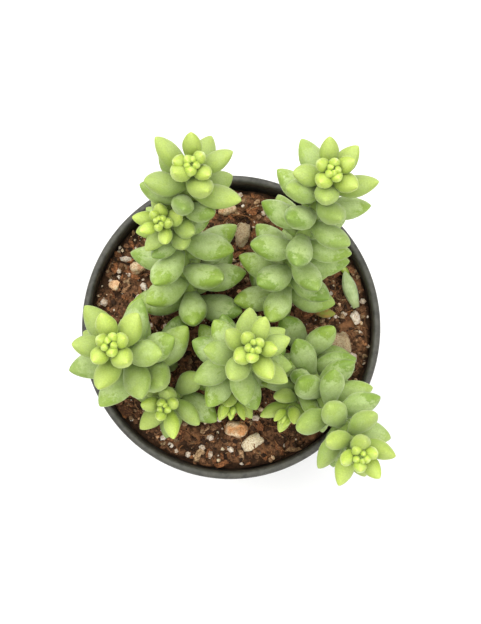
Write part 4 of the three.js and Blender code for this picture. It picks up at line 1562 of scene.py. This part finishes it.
def core_skin(stem):
    """Rings round the stem's axis from its buried end to its tip, closed by a dome: the last rings
    shrink as a quarter circle while they move on by 0.9 of the tip's radius. The two end points
    come last, and the number of rings is given with them."""
    length = stem["path"].length
    stations = np.linspace(0, length, CORE_STATIONS)
    if stem["sunk"]:
        buried = np.linspace(-stem["sunk"], 0, BURIED_STATIONS, endpoint=False)
        stations = np.append(buried, stations)
    rings = []
    for s in stations:
        place, way = stem["path"].at(max(0.0, s))
        rings.append((place + way * min(0.0, s), way, core_radius(stem, length - s)))
    for q in np.linspace(0, np.pi / 2, 6)[1:-1]:
        rings.append((place + way * DOME_HEIGHT * math.sin(q), way, TIP_RADIUS * math.cos(q)))
    centres, ways, radii = (np.array(column) for column in zip(*rings))
    a = angles_round(CORE_COLUMNS)
    side = unit(SIDEWAYS - ways * (ways @ SIDEWAYS)[:, None])
    front = np.cross(ways, side)
    ring = np.cos(a)[:, None] * side[:, None] + np.sin(a)[:, None] * front[:, None]
    points = centres[:, None] + radii[:, None, None] * ring
    return np.vstack([points.reshape(-1, 3), [centres[0], place + way * DOME_HEIGHT]]), len(rings)


print("rings on a rooted stem and on a shoot:", core_skin(stems[0])[1], core_skin(stems[1])[1])

# %% [markdown]
# The leaves of a stem could stay objects of their own, but a plant that is handed on as two hundred
# loose objects is hard to use. Here each part gives its points, faces and painted values, and one
# mesh takes them all.

# %% Put a stem together
# The age, way along, way across and tint that are painted on a rod.
ROD_PAINT = [0.75, 0.1, 0.0, 0.3]
COLOUR_RIPENS = (11, 1.25)
AGE_STRAY = 0.1


def rod_part(stem):
    """A rod's points, faces and painted values."""
    points, rows = core_skin(stem)
    painted = np.tile(ROD_PAINT, (len(points), 1))
    return points, ring_faces(rows, CORE_COLUMNS, closed_ends=True), painted


def leaf_part(leaf):
    """A leaf's points, faces and painted values. Its colour ages a little ahead of or behind the
    rule."""
    rows = LEAF_ROWS if leaf["n"] > 5 else BUD_ROWS
    points, along, side = leaf_skin(leaf, rows)
    stray = AGE_STRAY * float(spread(leaf_seed(leaf), 3)) * (leaf["n"] > 4)
    age = np.clip(1 - youth(leaf["stem"], leaf["n"], *COLOUR_RIPENS) + stray, 0, 1)
    tint = float(draw(leaf_seed(leaf), 4))
    painted = np.stack([np.full(len(points), age), along, side, np.full(len(points), tint)], -1)
    return points, ring_faces(rows, LEAF_COLUMNS, closed_ends=True), painted


def dress_stem(name):
    """One mesh for a rooted stem: its rods, then its leaves. The faces of each part count on from
    the points of the parts before it."""
    parts = [rod_part(stem) for stem in stems if stem["node"] == name]
    parts += [leaf_part(leaf) for leaf in grown if leaf["stem"]["node"] == name]
    points, faces, painted = zip(*parts)
    starts = np.cumsum([0] + [len(part) for part in points[:-1]]).tolist()
    joined = [[i + start for i in face] for start, part in zip(starts, faces) for face in part]
    age, along, side, tint = np.vstack(painted).T
    return put_piece(
        name + "_leafy", np.vstack(points), joined, leaf_material, [name], "leaf",
        age=age, along=along, side=side, tint=tint,
    )


for given in STEMS:
    dress_stem(given["name"])

# %% [markdown]
# ## Dropped leaves
#
# Leaves snap off at a touch and lie on the mix, where they root. Three have dropped here: a long
# one that has thinned and gone grey, a small young one, and one that is turning yellow.

# %% The finish of a fallen leaf


def limp_finish(name, first, second, foot_colour):
    """A fallen leaf that lives on its own water: blotched between two colours, with faint
    lengthwise wrinkles whose furrows are darkened by painted shade, and a darker foot where it
    broke off."""
    finish, shader = new_finish(
        name, 0.65, Specular_IOR_Level=0.3, Subsurface_Weight=0.2, Sheen_Weight=0.2
    )
    shader.inputs["Subsurface Radius"].default_value = (1.0, 0.8, 0.3)
    shader.inputs["Subsurface Scale"].default_value = 1.5 * MILLIMETRE
    blotches = grain(finish, 2.0, detail=5)
    wrinkles = leaf_streaks(finish, 7.0)
    colour = blend_colours(finish, ramp(finish, blotches, 0.38, 0.62), first, second)
    # Painted shade: the wrinkles' furrows, low in the relief, are darkened.
    furrow_shade = blend_colours(finish, 1.0, colour, (0.75, 0.82, 0.7), "MULTIPLY")
    colour = blend_colours(finish, ramp(finish, wrinkles, 0.4, 0.6, 0.7, 0.0), colour, furrow_shade)
    foot = ramp(finish, painted_value(finish, "along"), 0.0, 0.35, 0.75, 0.0)
    colour = blend_colours(finish, foot, colour, foot_colour)
    wire(finish, colour, shader.inputs["Base Color"])
    uneven = combine(finish, "ADD", wrinkles, times(finish, blotches, 0.5))
    add_relief(finish, shader, uneven, 0.25, 0.7)
    return finish


yellow_material = limp_finish(
    "yellow_leaf", (0.28, 0.31, 0.045), (0.4, 0.24, 0.06), (0.25, 0.1, 0.05)
)
faded_material = limp_finish(
    "faded_leaf", (0.37, 0.46, 0.21), (0.47, 0.56, 0.29), (0.33, 0.38, 0.16)
)
print("nodes in a fallen leaf's finish:", len(yellow_material.node_tree.nodes))

# %% Lay the dropped leaves
DROPPED = {
    # middle, length, the way it points in degrees, width as a share of the length
    "dropped_leaf": ((41.4, 13.3), 13.4, 109, 0.37),
    "dropped_young_leaf": ((39.8, 20.2), 5.2, 122, 0.46),
    "dropped_yellow_leaf": ((32.7, 5), 7.4, 352, 0.46),
}
DROPPED_FINISH = {
    "dropped_leaf": (faded_material, "leaf"),
    "dropped_young_leaf": (leaf_material, "leaf"),
    "dropped_yellow_leaf": (yellow_material, "yellow_leaf"),
}
UPRIGHT = np.array([0, 0, 1.0])
for index, (name, (at, length, turn, slim)) in enumerate(DROPPED.items()):
    angle = math.radians(turn)
    along = np.array([math.cos(angle), math.sin(angle), 0])
    width = slim * length
    leaf = dict(
        n=40 + index, stem=dict(seed=700), base=np.array([*at, 0.0]) - along * length / 2,
        along=along, upper=UPRIGHT, across=np.cross(UPRIGHT, along),
        length=length, width=width, thick=0.8 * width, bend=0.05,
    )
    felt = feelers(leaf)
    leaf["base"][2] = (soil_height(felt[:, 0], felt[:, 1]) - felt[:, 2]).max() + 2 * GAP
    points, way_along, way_across = leaf_skin(leaf)
    material, slot = DROPPED_FINISH[name]
    put_piece(
        name + "_lying", points, ring_faces(LEAF_ROWS, LEAF_COLUMNS, closed_ends=True),
        material, [name], slot,
        age=np.full(len(points), 0.3), along=way_along, side=way_across,
        tint=np.full(len(points), 0.2),
    )

# %% [markdown]
# ## The stand and the light
#
# The plant stands on a plain pale floor. A large soft light above and behind gives the gentle shade
# that models each leaf, a weaker one fills from the front, and a pale sky fills the rest.

# %% Floor and lights
LIT_POINT = np.array([0, 0, 0.1])


def pale_floor():
    """A wide flat square that the pot stands on, its half side in metres."""
    half = 4.0
    corners = [(-half, -half, 0), (half, -half, 0), (half, half, 0), (-half, half, 0)]
    mesh = bpy.data.meshes.new("floor")
    mesh.from_pydata(corners, [], [(0, 1, 2, 3)])
    finish, shader = new_finish("floor", 0.8)
    shader.inputs["Base Color"].default_value = (0.93, 0.93, 0.925, 1)
    mesh.materials.append(finish)
    floor = bpy.data.objects.new("floor", mesh)
    bpy.context.scene.collection.objects.link(floor)


def soft_light(name, location, size, power, colour=(1, 1, 1)):
    """A square area light that looks at a point low in the plant. Its place and size are in
    metres."""
    light = bpy.data.lights.new(name, "AREA")
    light.size = size
    light.energy = power
    light.color = colour
    lamp = bpy.data.objects.new(name, light)
    bpy.context.scene.collection.objects.link(lamp)
    lamp.location = location
    away = np.array(location) - LIT_POINT
    level = math.hypot(away[0], away[1])
    lamp.rotation_euler = (math.atan2(level, away[2]), 0, math.atan2(away[0], -away[1]))


pale_floor()
soft_light("key", (-0.25, 0.4, 0.95), 1.1, 13.0, (1.0, 0.985, 0.95))
soft_light("fill", (0.45, -0.4, 0.85), 1.1, 5.5, (1.0, 0.99, 0.97))
world = bpy.data.worlds.new("sky")
world.use_nodes = True
world.node_tree.nodes["Background"].inputs["Color"].default_value = (0.98, 0.99, 1.0, 1)
world.node_tree.nodes["Background"].inputs["Strength"].default_value = 0.8
bpy.context.scene.world = world

# %% [markdown]
# ## The camera
#
# The photo was taken from almost straight above, a little from the front, at about half a metre. A
# long lens keeps the pot's rim round while the taller stems still look larger.

# %% Camera
CAMERA_TILT = math.radians(4)
CAMERA_TARGET = np.array([3.3, 5.2, 88.0])
CAMERA_DISTANCE = 560.0
FOCAL_PIXELS = 1622
PHOTO_HEIGHT = 624
SENSOR = 36

camera = bpy.data.cameras.new("camera")
camera.sensor_width = SENSOR
camera.sensor_fit = "AUTO"
camera.lens = FOCAL_PIXELS / PHOTO_HEIGHT * SENSOR
viewer = bpy.data.objects.new("camera", camera)
bpy.context.scene.collection.objects.link(viewer)
back = np.array([0, -math.sin(CAMERA_TILT), math.cos(CAMERA_TILT)])
viewer.location = (CAMERA_TARGET + CAMERA_DISTANCE * back) * MILLIMETRE
viewer.rotation_euler = (CAMERA_TILT, 0, 0)
bpy.context.scene.camera = viewer
bpy.context.scene.view_settings.view_transform = "Standard"
print("camera height in mm:", round(1000 * viewer.location.z))
